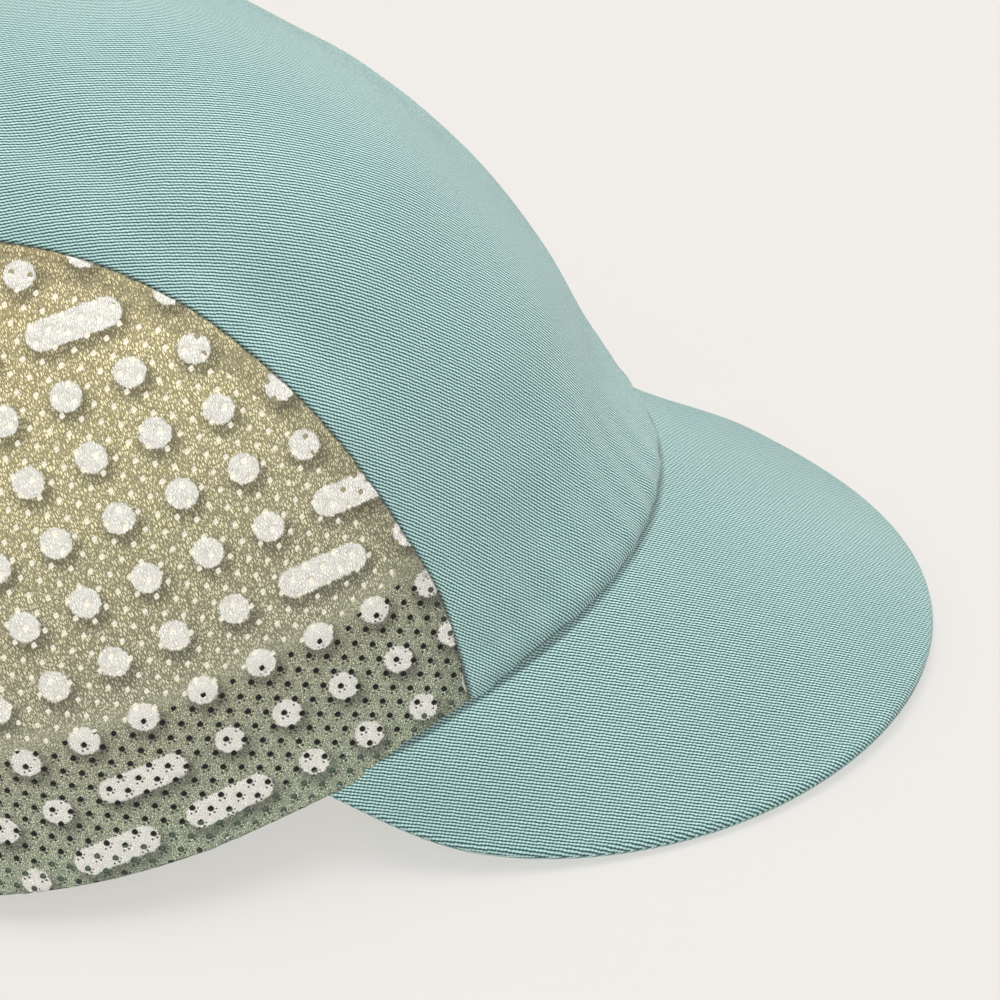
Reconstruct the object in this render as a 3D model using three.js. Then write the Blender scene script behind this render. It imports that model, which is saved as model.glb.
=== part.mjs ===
// Three-panel cycling cap with a short downturned peak, resting on its rim.
// Millimetres, +Z up. The peak points along -Y and the wearer's right side is -X.
// The origin is on the floor, under the middle of the cap's bounding box.
import * as THREE from 'three';
import { mergeVertices } from 'three/addons/utils/BufferGeometryUtils.js';

// Crown: the oval that the hem draws around the head, and the height over the floor
const HEAD_FRONT = 99;
const HEAD_BACK = 99;
const HEAD_HALF_WIDTH = 83;
const CROWN_HEIGHT = 115;
// The widest place lies a little ahead of the middle, and the top lies behind it
const WIDEST_AHEAD = 1.7;
const TOP_BEHIND = 12.7;
// The oval narrows towards the forehead, and is a little fuller than an ellipse
const FOREHEAD_TAPER = 0.09;
const OVAL_FULLNESS = 0.04;

// Peak: its length ahead of the seam, its oval outline, slope and side-to-side camber
const PEAK_LENGTH = 45.5;
const PEAK_OVAL_DEPTH = 85;
const PEAK_HALF_WIDTH = 63;
const PEAK_SLOPE_DEG = 25.8;
const PEAK_CAMBER_DROP = 31;
const PEAK_THICKNESS = 2.4;
const PEAK_END_THICKNESS = 1.1;
const PEAK_FLOOR_CLEARANCE = 0.15;

// Side panels: the arch of their top edge, seen from the side
const ARCH_FRONT = 81.7;
const ARCH_BACK = 80.6;
const ARCH_HEIGHT = 101.7;

// Cloth: thickness of each layer, and heights of the strips inside the hem
const PANEL_THICKNESS = 1.2;
const LINING_THICKNESS = 1;
const TAPE_THICKNESS = 1;
const BAND_THICKNESS = 1.5;
const BAND_HEIGHT = 27;
const TAPE_HEIGHT = 5;
const STRIP_LIFT = 0.7;
const LINING_OVERLAP = 1.5;
const LINING_MARGIN = 1.5;
const GAP = 0.3;
const LAYER_GAP = 0.35;

// Hem: it comes down from the peak's ends to the floor over this turn around the head
const HEM_SETTLE = THREE.MathUtils.degToRad(69.5);
const HEM_CURVE = 1.8;
const TUCK_TURN = THREE.MathUtils.degToRad(9);

// Facets: steps around the crown, up it, across the peak and along it
const STEPS_AROUND = 72;
const STEPS_UP = 14;
const PEAK_STEPS_ACROSS = 26;
const PEAK_STEPS_ALONG = 6;

// Level sections of the crown from hem to top. Height is a share of CROWN_HEIGHT;
// front and back are shares of the hem's reach ahead of and behind its middle, and
// side is a share of HEAD_HALF_WIDTH. The sweatband gathers the sides a little.
const SECTIONS = [
  { height: 0, front: 1, back: 1, side: 1 },
  { height: 0.06, front: 1.003, back: 0.996, side: 0.987 },
  { height: 0.14, front: 0.987, back: 0.99, side: 0.972 },
  { height: 0.25, front: 0.952, back: 0.978, side: 0.966 },
  { height: 0.38, front: 0.925, back: 0.945, side: 0.946 },
  { height: 0.52, front: 0.883, back: 0.894, side: 0.873 },
  { height: 0.66, front: 0.815, back: 0.816, side: 0.765 },
  { height: 0.78, front: 0.738, back: 0.716, side: 0.631 },
  { height: 0.87, front: 0.612, back: 0.595, side: 0.529 },
  { height: 0.935, front: 0.452, back: 0.446, side: 0.407 },
  { height: 0.977, front: 0.281, back: 0.28, side: 0.228 },
  { height: 1, front: 0, back: 0, side: 0 },
];

// Soft folds, each a shallow valley between two places on the crown, the same on both
// sides. Around is in degrees from the front, up is a share of the way up the crown,
// and width and depth are shares of CROWN_HEIGHT.
const FOLDS = [
  { fromAround: 68, fromUp: 0.74, toAround: 52, toUp: 0.68, width: 0.085, depth: 0.017 },
  { fromAround: 54, fromUp: 0.84, toAround: 45, toUp: 0.79, width: 0.05, depth: 0.014 },
  { fromAround: 38, fromUp: 0.6, toAround: 33, toUp: 0.55, width: 0.065, depth: 0.011 },
  { fromAround: 13, fromUp: 0.38, toAround: 26, toUp: 0.1, width: 0.06, depth: 0.008 },
  { fromAround: 128, fromUp: 0.66, toAround: 116, toUp: 0.5, width: 0.09, depth: 0.015 },
  { fromAround: 158, fromUp: 0.42, toAround: 152, toUp: 0.2, width: 0.08, depth: 0.01 },
];

const smooth = (x) => THREE.MathUtils.smoothstep(x, 0, 1);
const clamp = THREE.MathUtils.clamp;

// A value of the section table at a share of the way up, on a smooth curve through its rows
function sectionValue(column, up) {
  const last = SECTIONS.length - 1;
  const place = clamp(up, 0, 1) * last;
  const row = Math.min(Math.floor(place), last - 1);
  const t = place - row;
  const value = (index) => {
    if (index < 0) return 2 * SECTIONS[0][column] - SECTIONS[1][column];
    if (index <= last) return SECTIONS[index][column];
    return column === 'height' ? SECTIONS[last - 1][column] : -SECTIONS[last - 1][column];
  };
  const [a, b, c, d] = [value(row - 1), value(row), value(row + 1), value(row + 2)];
  return b + 0.5 * t * (c - a + t * (2 * a - 5 * b + 4 * c - d + t * (3 * (b - c) + d - a)));
}

// The oval of the hem in plan: forward reach and side reach at an angle from the front
function ovalPoint(angle, front = 1, back = 1, side = 1, middle = WIDEST_AHEAD) {
  const c = Math.cos(angle);
  const reach = c >= 0 ? front * (HEAD_FRONT - WIDEST_AHEAD) : back * (HEAD_BACK + WIDEST_AHEAD);
  const fullness = 1 - FOREHEAD_TAPER * (c + c ** 3) + OVAL_FULLNESS * c ** 2;
  return {
    forward: middle + reach * c,
    right: side * HEAD_HALF_WIDTH * Math.sin(angle) * fullness,
  };
}

// Peak: height of its upper face before it is set over the floor
const peakCentre = HEAD_FRONT + PEAK_LENGTH - PEAK_OVAL_DEPTH;
const peakSlope = Math.tan(THREE.MathUtils.degToRad(PEAK_SLOPE_DEG));
const camberRadius = (PEAK_HALF_WIDTH ** 2 + PEAK_CAMBER_DROP ** 2) / (2 * PEAK_CAMBER_DROP);

function peakFall(forward, right) {
  const inside = Math.max(camberRadius ** 2 - right ** 2, 0);
  return peakSlope * (forward - HEAD_FRONT) + camberRadius - Math.sqrt(inside);
}

// A point of the peak's oval outline at an angle around the oval's centre
function peakEdgePoint(angle) {
  return {
    forward: peakCentre + PEAK_OVAL_DEPTH * Math.cos(angle),
    right: PEAK_HALF_WIDTH * Math.sin(angle),
  };
}

// The angle around the head where the hem leaves the peak's oval
function findPeakEnd() {
  let inside = 0;
  let outside = Math.PI;
  for (let turn = 0; turn < 50; turn += 1) {
    const angle = (inside + outside) / 2;
    const { forward, right } = ovalPoint(angle);
    const distance = ((forward - peakCentre) / PEAK_OVAL_DEPTH) ** 2 + (right / PEAK_HALF_WIDTH) ** 2;
    if (distance < 1) inside = angle;
    else outside = angle;
  }
  return inside;
}

const peakEnd = findPeakEnd();
const endPoint = ovalPoint(peakEnd);
const peakEdgeEnd = Math.atan2(
  endPoint.right / PEAK_HALF_WIDTH,
  (endPoint.forward - peakCentre) / PEAK_OVAL_DEPTH,
);

// The peak's lowest edge just clears the floor, which sets the height of the forehead seam
function findSeamHeight() {
  let deepest = 0;
  for (let step = 0; step <= 200; step += 1) {
    const { forward, right } = peakEdgePoint((peakEdgeEnd * step) / 200);
    deepest = Math.max(deepest, peakFall(forward, right));
  }
  const slant = Math.hypot(1, peakSlope);
  return deepest + PEAK_THICKNESS * slant + PEAK_FLOOR_CLEARANCE;
}

const seamHeight = findSeamHeight();
const peakHeight = (forward, right) => seamHeight - peakFall(forward, right);
const peakEndHeight = peakHeight(endPoint.forward, endPoint.right);

// Height of the hem: it tucks in behind the peak, and settles to the floor past its ends
function hemHeight(angle) {
  const turn = Math.abs(angle);
  if (turn <= peakEnd) {
    const { forward, right } = ovalPoint(turn);
    const tuck = PEAK_THICKNESS * smooth((peakEnd - turn) / TUCK_TURN);
    return peakHeight(forward, right) - tuck;
  }
  const settled = clamp((turn - peakEnd) / HEM_SETTLE, 0, 1);
  return peakEndHeight * (1 - settled) ** HEM_CURVE;
}

// The crown's outer surface without folds, at an angle from the front and a share up
function smoothCrown(angle, up) {
  const height = sectionValue('height', up);
  const middle = THREE.MathUtils.lerp(WIDEST_AHEAD, -TOP_BEHIND, height);
  const { forward, right } = ovalPoint(
    angle,
    sectionValue('front', up),
    sectionValue('back', up),
    sectionValue('side', up),
    middle,
  );
  const top = hemHeight(angle) * (1 - height) ** 2 + CROWN_HEIGHT * height;
  return new THREE.Vector3(-right, -forward, top);
}

const foldLines = FOLDS.flatMap((fold) => [1, -1].map((hand) => ({
  line: new THREE.Line3(
    smoothCrown(hand * THREE.MathUtils.degToRad(fold.fromAround), fold.fromUp),
    smoothCrown(hand * THREE.MathUtils.degToRad(fold.toAround), fold.toUp),
  ),
  width: fold.width * CROWN_HEIGHT,
  depth: fold.depth * CROWN_HEIGHT,
})));

// Unit normal of a surface, pointing away from the head, from two short steps on it
function outwardNormal(surface, angle, up) {
  const step = 0.004;
  const low = Math.max(up - step, 0);
  const high = Math.min(up + step, 1 - step);
  const around = surface(angle + step, up).sub(surface(angle - step, up));
  const upward = surface(angle, Math.max(high, low + step)).sub(surface(angle, low));
  return upward.cross(around).normalize();
}

// The crown's outer surface with its folds
function crownSurface(angle, up) {
  const point = smoothCrown(angle, up);
  const nearest = new THREE.Vector3();
  let depth = 0;
  for (const fold of foldLines) {
    fold.line.closestPointToPoint(point, true, nearest);
    depth += fold.depth * Math.exp(-((point.distanceTo(nearest) / fold.width) ** 2));
  }
  if (depth < 1e-4 || up > 0.99) return point;
  return point.addScaledVector(outwardNormal(smoothCrown, angle, up), -depth);
}

// The place at some depth under the crown's outer surface
function layerPoint(angle, up, depth) {
  if (up >= 1) return new THREE.Vector3(0, TOP_BEHIND, CROWN_HEIGHT - depth);
  const point = crownSurface(angle, up);
  const normal = outwardNormal(crownSurface, angle, up);
  if (up === 0) {
    normal.z = 0;
    normal.normalize();
  }
  return point.addScaledVector(normal, -depth);
}

// The share up the crown that lies a given height above the hem at this angle
function shareAboveHem(angle, rise) {
  const hem = hemHeight(angle);
  let low = 0;
  let high = 1;
  for (let turn = 0; turn < 40; turn += 1) {
    const up = (low + high) / 2;
    const height = sectionValue('height', up);
    if (hem * (1 - height) ** 2 + CROWN_HEIGHT * height < hem + rise) low = up;
    else high = up;
  }
  return low;
}

// Joins vertices and drops faces that have shrunk to a line, to leave one closed body
function closedGeometry(positions, faces) {
  const geometry = new THREE.BufferGeometry();
  geometry.setAttribute('position', new THREE.Float32BufferAttribute(positions.flat(), 3));
  geometry.setIndex(faces.flat());
  const merged = mergeVertices(geometry, 1e-4);
  const index = merged.index.array;
  const kept = [];
  for (let i = 0; i < index.length; i += 3) {
    const [a, b, c] = [index[i], index[i + 1], index[i + 2]];
    if (a !== b && b !== c && c !== a) kept.push(a, b, c);
  }
  merged.setIndex(kept);
  return merged;
}

// A net of places on the crown, with the triangles between them. All nets share the same
// columns and rows, cut off at their own low and high edges, so that layers lie parallel.
function crownNet(lowRise, highRise) {
  const grid = [];
  const top = { angle: 0, up: 1, onEdge: false };
  for (let column = 0; column < STEPS_AROUND; column += 1) {
    const angle = -Math.PI + (2 * Math.PI * column) / STEPS_AROUND;
    const low = lowRise > 0 ? shareAboveHem(angle, lowRise) : 0;
    const high = highRise === null ? 1 : shareAboveHem(angle, highRise);
    let node = null;
    grid.push([]);
    for (let row = 0; row <= STEPS_UP; row += 1) {
      const up = clamp(row / STEPS_UP, low, high);
      if (up === 1) {
        node = top;
      } else if (!node || node.up !== up) {
        node = { angle, up, onEdge: up === low || up === high };
      }
      grid[column].push(node);
    }
  }
  const triangles = [];
  for (let column = 0; column < STEPS_AROUND; column += 1) {
    const here = grid[column];
    const next = grid[(column + 1) % STEPS_AROUND];
    for (let row = 0; row < STEPS_UP; row += 1) {
      const [a, b, c, d] = [here[row], next[row], next[row + 1], here[row + 1]];
      if (column < STEPS_AROUND / 2) triangles.push([a, c, b], [a, d, c]);
      else triangles.push([a, d, b], [b, d, c]);
    }
  }
  return triangles.filter(([a, b, c]) => a !== b && b !== c && c !== a);
}

// The place part of the way between two places on the crown, the short way around
function between(a, b, share) {
  const turn = Math.atan2(Math.sin(b.angle - a.angle), Math.cos(b.angle - a.angle));
  return { angle: a.angle + turn * share, up: a.up + (b.up - a.up) * share };
}

// The share of the way from a to b where the value changes sign
function crossingShare(a, b, valueAt) {
  let low = 0;
  let high = 1;
  const sign = Math.sign(a.value);
  for (let turn = 0; turn < 30; turn += 1) {
    const share = (low + high) / 2;
    if (Math.sign(valueAt(between(a, b, share))) === sign) low = share;
    else high = share;
  }
  return (low + high) / 2;
}

// Cuts a net along the line where a value is zero, and keeps what lies above zero.
// A place close to the line moves onto it first, so that no sliver is left.
function cutNet(triangles, valueAt) {
  const nodes = new Set(triangles.flat());
  for (const node of nodes) node.value = valueAt(node);
  const closeness = 0.22;
  for (const triangle of triangles) {
    for (let i = 0; i < 3; i += 1) {
      const [a, b] = [triangle[i], triangle[(i + 1) % 3]];
      if (a.value * b.value >= 0) continue;
      const share = crossingShare(a, b, valueAt);
      if (share > closeness && share < 1 - closeness) continue;
      const [near, far] = share < 0.5 ? [a, b] : [b, a];
      if (near.up === 1 || (near.onEdge && !far.onEdge)) continue;
      Object.assign(near, between(a, b, share), { value: 0 });
    }
  }
  const crossings = new Map();
  const crossing = (a, b) => {
    const [first, second] = a.up < b.up || (a.up === b.up && a.angle < b.angle) ? [a, b] : [b, a];
    if (!crossings.has(first)) crossings.set(first, new Map());
    const found = crossings.get(first);
    if (!found.has(second)) {
      const share = crossingShare(first, second, valueAt);
      found.set(second, { ...between(first, second, share), value: 0 });
    }
    return found.get(second);
  };
  const kept = [];
  for (const triangle of triangles) {
    if (triangle.every((node) => node.value <= 0)) continue;
    const outline = [];
    triangle.forEach((node, i) => {
      const next = triangle[(i + 1) % 3];
      if (node.value >= 0) outline.push(node);
      if (node.value * next.value < 0) outline.push(crossing(node, next));
    });
    for (let i = 1; i + 1 < outline.length; i += 1) kept.push([outline[0], outline[i], outline[i + 1]]);
  }
  return kept;
}

// Gives a net its thickness: an outer and an inner face, joined by a wall along every edge
function thicken(triangles, outerDepth, innerDepth) {
  const nodes = [...new Set(triangles.flat())];
  const number = new Map(nodes.map((node, index) => [node, index]));
  const place = (depth) => (node) => layerPoint(node.angle, node.up, depth).toArray();
  const positions = [...nodes.map(place(outerDepth)), ...nodes.map(place(innerDepth))];
  const faces = [];
  const edges = new Map();
  for (const triangle of triangles) {
    const [a, b, c] = triangle.map((node) => number.get(node));
    faces.push([a, b, c], [nodes.length + a, nodes.length + c, nodes.length + b]);
    for (const [from, to] of [[a, b], [b, c], [c, a]]) {
      if (edges.has(`${to} ${from}`)) edges.delete(`${to} ${from}`);
      else edges.set(`${from} ${to}`, [from, to]);
    }
  }
  for (const [from, to] of edges.values()) {
    faces.push([to, from, nodes.length + from], [to, nodes.length + from, nodes.length + to]);
  }
  return closedGeometry(positions, faces);
}

// How far a place on the crown lies inside the arch of one side panel, seen from the
// side, with the arch shrunk by an inset. The hand is 1 for the wearer's right side.
function insideArch(hand, inset) {
  const centre = (ARCH_FRONT - ARCH_BACK) / 2;
  const halfLength = (ARCH_FRONT + ARCH_BACK) / 2 - inset;
  return ({ angle, up }) => {
    const point = smoothCrown(angle, up);
    const beyond = Math.hypot((-point.y - centre) / halfLength, point.z / (ARCH_HEIGHT - inset));
    const sideways = -hand * point.x / HEAD_HALF_WIDTH;
    return Math.min(1 - beyond, sideways);
  };
}

// The peak: a cambered plate from the forehead seam to its oval edge, thinner at its ends.
// It lies a gap ahead of the crown all along the seam.
function peakGeometry() {
  const positions = [];
  const faces = [];
  const width = PEAK_STEPS_ALONG + 1;
  const side = (PEAK_STEPS_ACROSS + 1) * width;
  const slant = Math.hypot(1, peakSlope);
  for (const face of ['upper', 'lower']) {
    for (let column = 0; column <= PEAK_STEPS_ACROSS; column += 1) {
      const across = 1 - (2 * column) / PEAK_STEPS_ACROSS;
      const atHem = ovalPoint(peakEnd * across);
      const beside = ovalPoint(peakEnd * across + 0.01);
      const run = new THREE.Vector2(beside.forward - atHem.forward, beside.right - atHem.right);
      run.normalize();
      const seam = { forward: atHem.forward + run.y * GAP, right: atHem.right - run.x * GAP };
      const edge = peakEdgePoint(peakEdgeEnd * across);
      const fullness = smooth((1 - Math.abs(across)) / 0.25);
      const thickness = THREE.MathUtils.lerp(PEAK_END_THICKNESS, PEAK_THICKNESS, fullness);
      for (let row = 0; row <= PEAK_STEPS_ALONG; row += 1) {
        const share = row / PEAK_STEPS_ALONG;
        const forward = THREE.MathUtils.lerp(seam.forward, edge.forward + GAP, share);
        const right = THREE.MathUtils.lerp(seam.right, edge.right, share);
        const drop = face === 'lower' ? thickness * slant : 0;
        positions.push([-right, -forward, peakHeight(forward, right) - drop]);
      }
    }
  }
  for (let column = 0; column < PEAK_STEPS_ACROSS; column += 1) {
    const here = column * width;
    const next = here + width;
    for (let row = 0; row < PEAK_STEPS_ALONG; row += 1) {
      const [a, b, c, d] = [here + row, next + row, next + row + 1, here + row + 1];
      faces.push([a, c, b], [a, d, c]);
      faces.push([side + a, side + b, side + c], [side + a, side + c, side + d]);
    }
    const [e, f] = [here + PEAK_STEPS_ALONG, next + PEAK_STEPS_ALONG];
    faces.push([here, next, side + next], [here, side + next, side + here]);
    faces.push([e, side + f, f], [e, side + e, side + f]);
  }
  const last = side - width;
  for (let row = 0; row < PEAK_STEPS_ALONG; row += 1) {
    faces.push([row, side + row, side + row + 1], [row, side + row + 1, row + 1]);
    const [a, b] = [last + row, last + row + 1];
    faces.push([a, side + b, side + a], [a, b, side + b]);
  }
  return closedGeometry(positions, faces);
}

// Materials: matte cloths, in the colours of each piece
const cloth = (name, color, roughness) => {
  const material = new THREE.MeshStandardMaterial({ color, roughness, metalness: 0 });
  material.name = name;
  return material;
};
const twill = cloth('teal_twill', 0x9fc6c2, 0.85);
const peakTwill = cloth('peak_twill', 0x9cc3be, 0.85);
const mesh = cloth('printed_mesh', 0xa9a684, 0.8);
const lining = cloth('pale_lining', 0xece7d8, 0.9);
const band = cloth('black_sweatband', 0x1d1f20, 0.95);
const tape = cloth('teal_tape', 0x7fa19b, 0.85);

const cap = new THREE.Group();
function addPiece(name, geometry, material) {
  const piece = new THREE.Mesh(geometry, material);
  piece.name = name;
  cap.add(piece);
}

// Crown: one net, cut along both arches into the centre and side panels
const outsideArches = (place) => {
  const right = insideArch(1, -GAP / 2)(place);
  const left = insideArch(-1, -GAP / 2)(place);
  return -Math.max(right, left);
};
const centreNet = cutNet(crownNet(0, null), outsideArches);
addPiece('centre_panel', thicken(centreNet, 0, PANEL_THICKNESS), twill);
for (const [sideName, hand] of [['right', 1], ['left', -1]]) {
  const net = cutNet(crownNet(0, null), insideArch(hand, GAP / 2));
  addPiece(`side_panel_${sideName}`, thicken(net, 0, PANEL_THICKNESS), mesh);
}

// Inside each side panel: a pale lining above the sweatband
const tapeDepth = PANEL_THICKNESS + LAYER_GAP;
const bandDepth = tapeDepth + TAPE_THICKNESS + LAYER_GAP;
const liningLow = BAND_HEIGHT - LINING_OVERLAP;
for (const [sideName, hand] of [['right', 1], ['left', -1]]) {
  const net = cutNet(crownNet(liningLow, null), insideArch(hand, LINING_MARGIN));
  addPiece(`side_lining_${sideName}`, thicken(net, tapeDepth, tapeDepth + LINING_THICKNESS), lining);
}

// Inside the hem: a tape against the panels, and the sweatband inside it
const tapeNet = crownNet(STRIP_LIFT, TAPE_HEIGHT);
addPiece('hem_tape', thicken(tapeNet, tapeDepth, tapeDepth + TAPE_THICKNESS), tape);
const bandNet = crownNet(STRIP_LIFT, BAND_HEIGHT);
addPiece('sweatband', thicken(bandNet, bandDepth, bandDepth + BAND_THICKNESS), band);

addPiece('peak', peakGeometry(), peakTwill);

// The origin moves under the middle of the bounding box
const bounds = new THREE.Box3().setFromObject(cap);
const middle = bounds.getCenter(new THREE.Vector3());
for (const piece of cap.children) piece.geometry.translate(0, -middle.y, -bounds.min.z);

export default cap;
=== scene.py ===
# %% [markdown]
# # A cycling cap, sewn and printed
# A cycling cap is a light cotton cap: one twill panel runs from the forehead over the crown
# to the nape, a side panel is sewn into an arch on each side, and a short curved peak is
# sewn to the front. Here the side panels are a printed eyelet mesh. This lesson builds
# each piece as a thin shell on one shared crown surface, and gives it the cloth it is made of.
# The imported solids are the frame: every piece below sits where its solid sits.

import bmesh
import bpy
import numpy as np
from mathutils import Matrix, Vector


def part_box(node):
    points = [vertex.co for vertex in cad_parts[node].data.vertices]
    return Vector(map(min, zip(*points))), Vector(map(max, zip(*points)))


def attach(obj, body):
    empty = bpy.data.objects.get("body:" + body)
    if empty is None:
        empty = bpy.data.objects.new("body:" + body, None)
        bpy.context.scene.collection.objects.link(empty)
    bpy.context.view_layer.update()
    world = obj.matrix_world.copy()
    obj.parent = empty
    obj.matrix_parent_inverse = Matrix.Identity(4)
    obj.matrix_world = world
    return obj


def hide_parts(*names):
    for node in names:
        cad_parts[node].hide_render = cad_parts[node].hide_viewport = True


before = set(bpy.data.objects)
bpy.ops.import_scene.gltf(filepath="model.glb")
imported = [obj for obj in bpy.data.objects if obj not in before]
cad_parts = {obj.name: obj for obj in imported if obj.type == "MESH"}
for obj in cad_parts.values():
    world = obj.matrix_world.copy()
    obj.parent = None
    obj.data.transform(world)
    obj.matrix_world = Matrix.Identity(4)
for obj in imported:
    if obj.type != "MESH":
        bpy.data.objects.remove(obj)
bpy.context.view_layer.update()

# %% [markdown]
# ## Sizes
# The solids were drawn from a few sizes in millimetres, and the same sizes drive the cloth,
# so that both lie on one surface. Forward is -Y, and the wearer's right is -X.

# %% Sizes of the cap, in millimetres
MM = 0.001
HEAD_FRONT = 99.0
HEAD_BACK = 99.0
HEAD_HALF_WIDTH = 83.0
CROWN_HEIGHT = 115.0
WIDEST_AHEAD = 1.7
TOP_BEHIND = 12.7
FOREHEAD_TAPER = 0.09
OVAL_FULLNESS = 0.04
PEAK_LENGTH = 45.5
PEAK_OVAL_DEPTH = 85.0
PEAK_HALF_WIDTH = 63.0
PEAK_SLOPE_DEG = 25.8
PEAK_CAMBER_DROP = 31.0
PEAK_THICKNESS = 2.4
PEAK_FLOOR_CLEARANCE = 0.15
ARCH_FRONT = 81.7
ARCH_BACK = 80.6
ARCH_HEIGHT = 101.7
HEM_SETTLE = np.radians(69.5)
HEM_CURVE = 1.8
TUCK_TURN = np.radians(9)
GAP = 0.3

TWILL_THICKNESS = 1.2
MESH_THICKNESS = 0.3
LINING_DEPTH = 0.36
LINING_THICKNESS = 0.9
TAPE_THICKNESS = 0.9
BAND_DEPTH = 2.9
BAND_THICKNESS = 1.5
BAND_HEIGHT = 27.0
TAPE_HEIGHT = 5.0
STRIP_LIFT = 0.7

# Rows of the crown from the hem up: share of the height, then of the front, back and side reach
SECTIONS = np.array([
    (0, 1, 1, 1),
    (0.06, 1.003, 0.996, 0.987),
    (0.14, 0.987, 0.99, 0.972),
    (0.25, 0.952, 0.978, 0.966),
    (0.38, 0.925, 0.945, 0.946),
    (0.52, 0.883, 0.894, 0.873),
    (0.66, 0.815, 0.816, 0.765),
    (0.78, 0.738, 0.716, 0.631),
    (0.87, 0.612, 0.595, 0.529),
    (0.935, 0.452, 0.446, 0.407),
    (0.977, 0.281, 0.28, 0.228),
    (1, 0, 0, 0),
])
# Soft folds: from and to as (degrees around, share up), then width and depth as shares of height
FOLDS = [
    ((68, 0.74), (52, 0.68), 0.085, 0.017),
    ((54, 0.84), (45, 0.79), 0.05, 0.014),
    ((38, 0.6), (33, 0.55), 0.065, 0.011),
    ((13, 0.38), (26, 0.1), 0.06, 0.008),
    ((128, 0.66), (116, 0.5), 0.09, 0.015),
    ((158, 0.42), (152, 0.2), 0.08, 0.01),
    ((75, 0.0), (150, 0.0), 0.23, -0.03),  # the hem spreads a little behind the temples
]

# %% [markdown]
# ## The crown as a formula
# A crown could be sculpted, or draped over a head by simulation. A formula is better here:
# every layer of cloth asks it for a place, so the layers stay parallel and never cross.
# An angle runs around the head from the front, and a share runs up from the hem to the top.

# %% The crown's sections and the oval of the hem
def smooth(x):
    x = np.clip(x, 0, 1)
    return x * x * (3 - 2 * x)


def section_value(column, up):
    """A column of the section table at a share of the way up, on a smooth curve."""
    values = SECTIONS[:, column]
    beyond = values[-2] if column == 0 else -values[-2]
    values = np.concatenate([[2 * values[0] - values[1]], values, [beyond]])
    place = np.minimum(up, 1) * (len(SECTIONS) - 1)
    row = np.clip(np.floor(place), 0, len(SECTIONS) - 2).astype(int)
    t = place - row
    a, b, c, d = values[row], values[row + 1], values[row + 2], values[row + 3]
    return b + 0.5 * t * (c - a + t * (2 * a - 5 * b + 4 * c - d + t * (3 * (b - c) + d - a)))


def oval_point(angle, front=1.0, back=1.0, side=1.0, middle=WIDEST_AHEAD):
    """Forward and rightward reach of an oval around the head."""
    c = np.cos(angle)
    ahead, behind = HEAD_FRONT - WIDEST_AHEAD, HEAD_BACK + WIDEST_AHEAD
    reach = np.where(c >= 0, front * ahead, back * behind)
    fullness = 1 - FOREHEAD_TAPER * (c + c**3) + OVAL_FULLNESS * c**2
    return middle + reach * c, side * HEAD_HALF_WIDTH * np.sin(angle) * fullness


# %% The peak's face and outline
peak_centre = HEAD_FRONT + PEAK_LENGTH - PEAK_OVAL_DEPTH
peak_slope = np.tan(np.radians(PEAK_SLOPE_DEG))
peak_slant = np.hypot(1, peak_slope)
camber_radius = (PEAK_HALF_WIDTH**2 + PEAK_CAMBER_DROP**2) / (2 * PEAK_CAMBER_DROP)


def peak_fall(forward, right):
    arc = np.sqrt(np.maximum(camber_radius**2 - right**2, 0))
    return peak_slope * (forward - HEAD_FRONT) + camber_radius - arc


def peak_edge_point(angle):
    return peak_centre + PEAK_OVAL_DEPTH * np.cos(angle), PEAK_HALF_WIDTH * np.sin(angle)


turns = np.linspace(0, np.pi, 20001)
oval_forward, oval_right = oval_point(turns)
share_forward = (oval_forward - peak_centre) / PEAK_OVAL_DEPTH
in_peak = np.hypot(share_forward, oval_right / PEAK_HALF_WIDTH) < 1
peak_end = turns[in_peak].max()
end_forward, end_right = oval_point(peak_end)
peak_edge_end = np.arctan2(end_right / PEAK_HALF_WIDTH,
                           (end_forward - peak_centre) / PEAK_OVAL_DEPTH)
deepest = peak_fall(*peak_edge_point(np.linspace(0, peak_edge_end, 201))).max()
seam_height = deepest + PEAK_THICKNESS * peak_slant + PEAK_FLOOR_CLEARANCE


def peak_height(forward, right):
    return seam_height - peak_fall(forward, right)


peak_end_height = peak_height(end_forward, end_right)
print(f"peak ends {np.degrees(peak_end):.1f} degrees around")
print(f"forehead seam {seam_height:.1f} mm high")

# %% The crown's outer surface
def hem_height(angle):
    """The hem tucks in behind the peak, and settles to the floor past the peak's ends."""
    turn = np.abs((angle + np.pi) % (2 * np.pi) - np.pi)
    tuck = PEAK_THICKNESS * smooth((peak_end - turn) / TUCK_TURN)
    behind_peak = peak_height(*oval_point(turn)) - tuck
    settled = np.clip((turn - peak_end) / HEM_SETTLE, 0, 1)
    return np.where(turn <= peak_end, behind_peak, peak_end_height * (1 - settled)**HEM_CURVE)


def smooth_crown(angle, up):
    height = section_value(0, up)
    middle = WIDEST_AHEAD * (1 - height) - TOP_BEHIND * height
    sections = [section_value(column, up) for column in (1, 2, 3)]
    forward, right = oval_point(angle, *sections, middle)
    top = hem_height(angle) * (1 - height)**2 + CROWN_HEIGHT * height
    return np.stack(np.broadcast_arrays(-right, -forward, top), -1)


def outward_normal(surface, angle, up):
    """Unit normal away from the head, from two short steps on the surface."""
    step = 0.004
    high = np.minimum(up + step, 1 - step)
    low = np.minimum(up - step, high - step)
    around = surface(angle + step, up) - surface(angle - step, up)
    upward = surface(angle, high) - surface(angle, low)
    normal = np.cross(upward, around)
    return normal / np.linalg.norm(normal, axis=-1, keepdims=True)


side_width = 2 * abs(smooth_crown(np.pi / 2, np.linspace(0, 1, 50))[:, 0]).max()
print(f"smooth crown {side_width:.1f} mm wide, {CROWN_HEIGHT:.1f} mm high")

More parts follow.
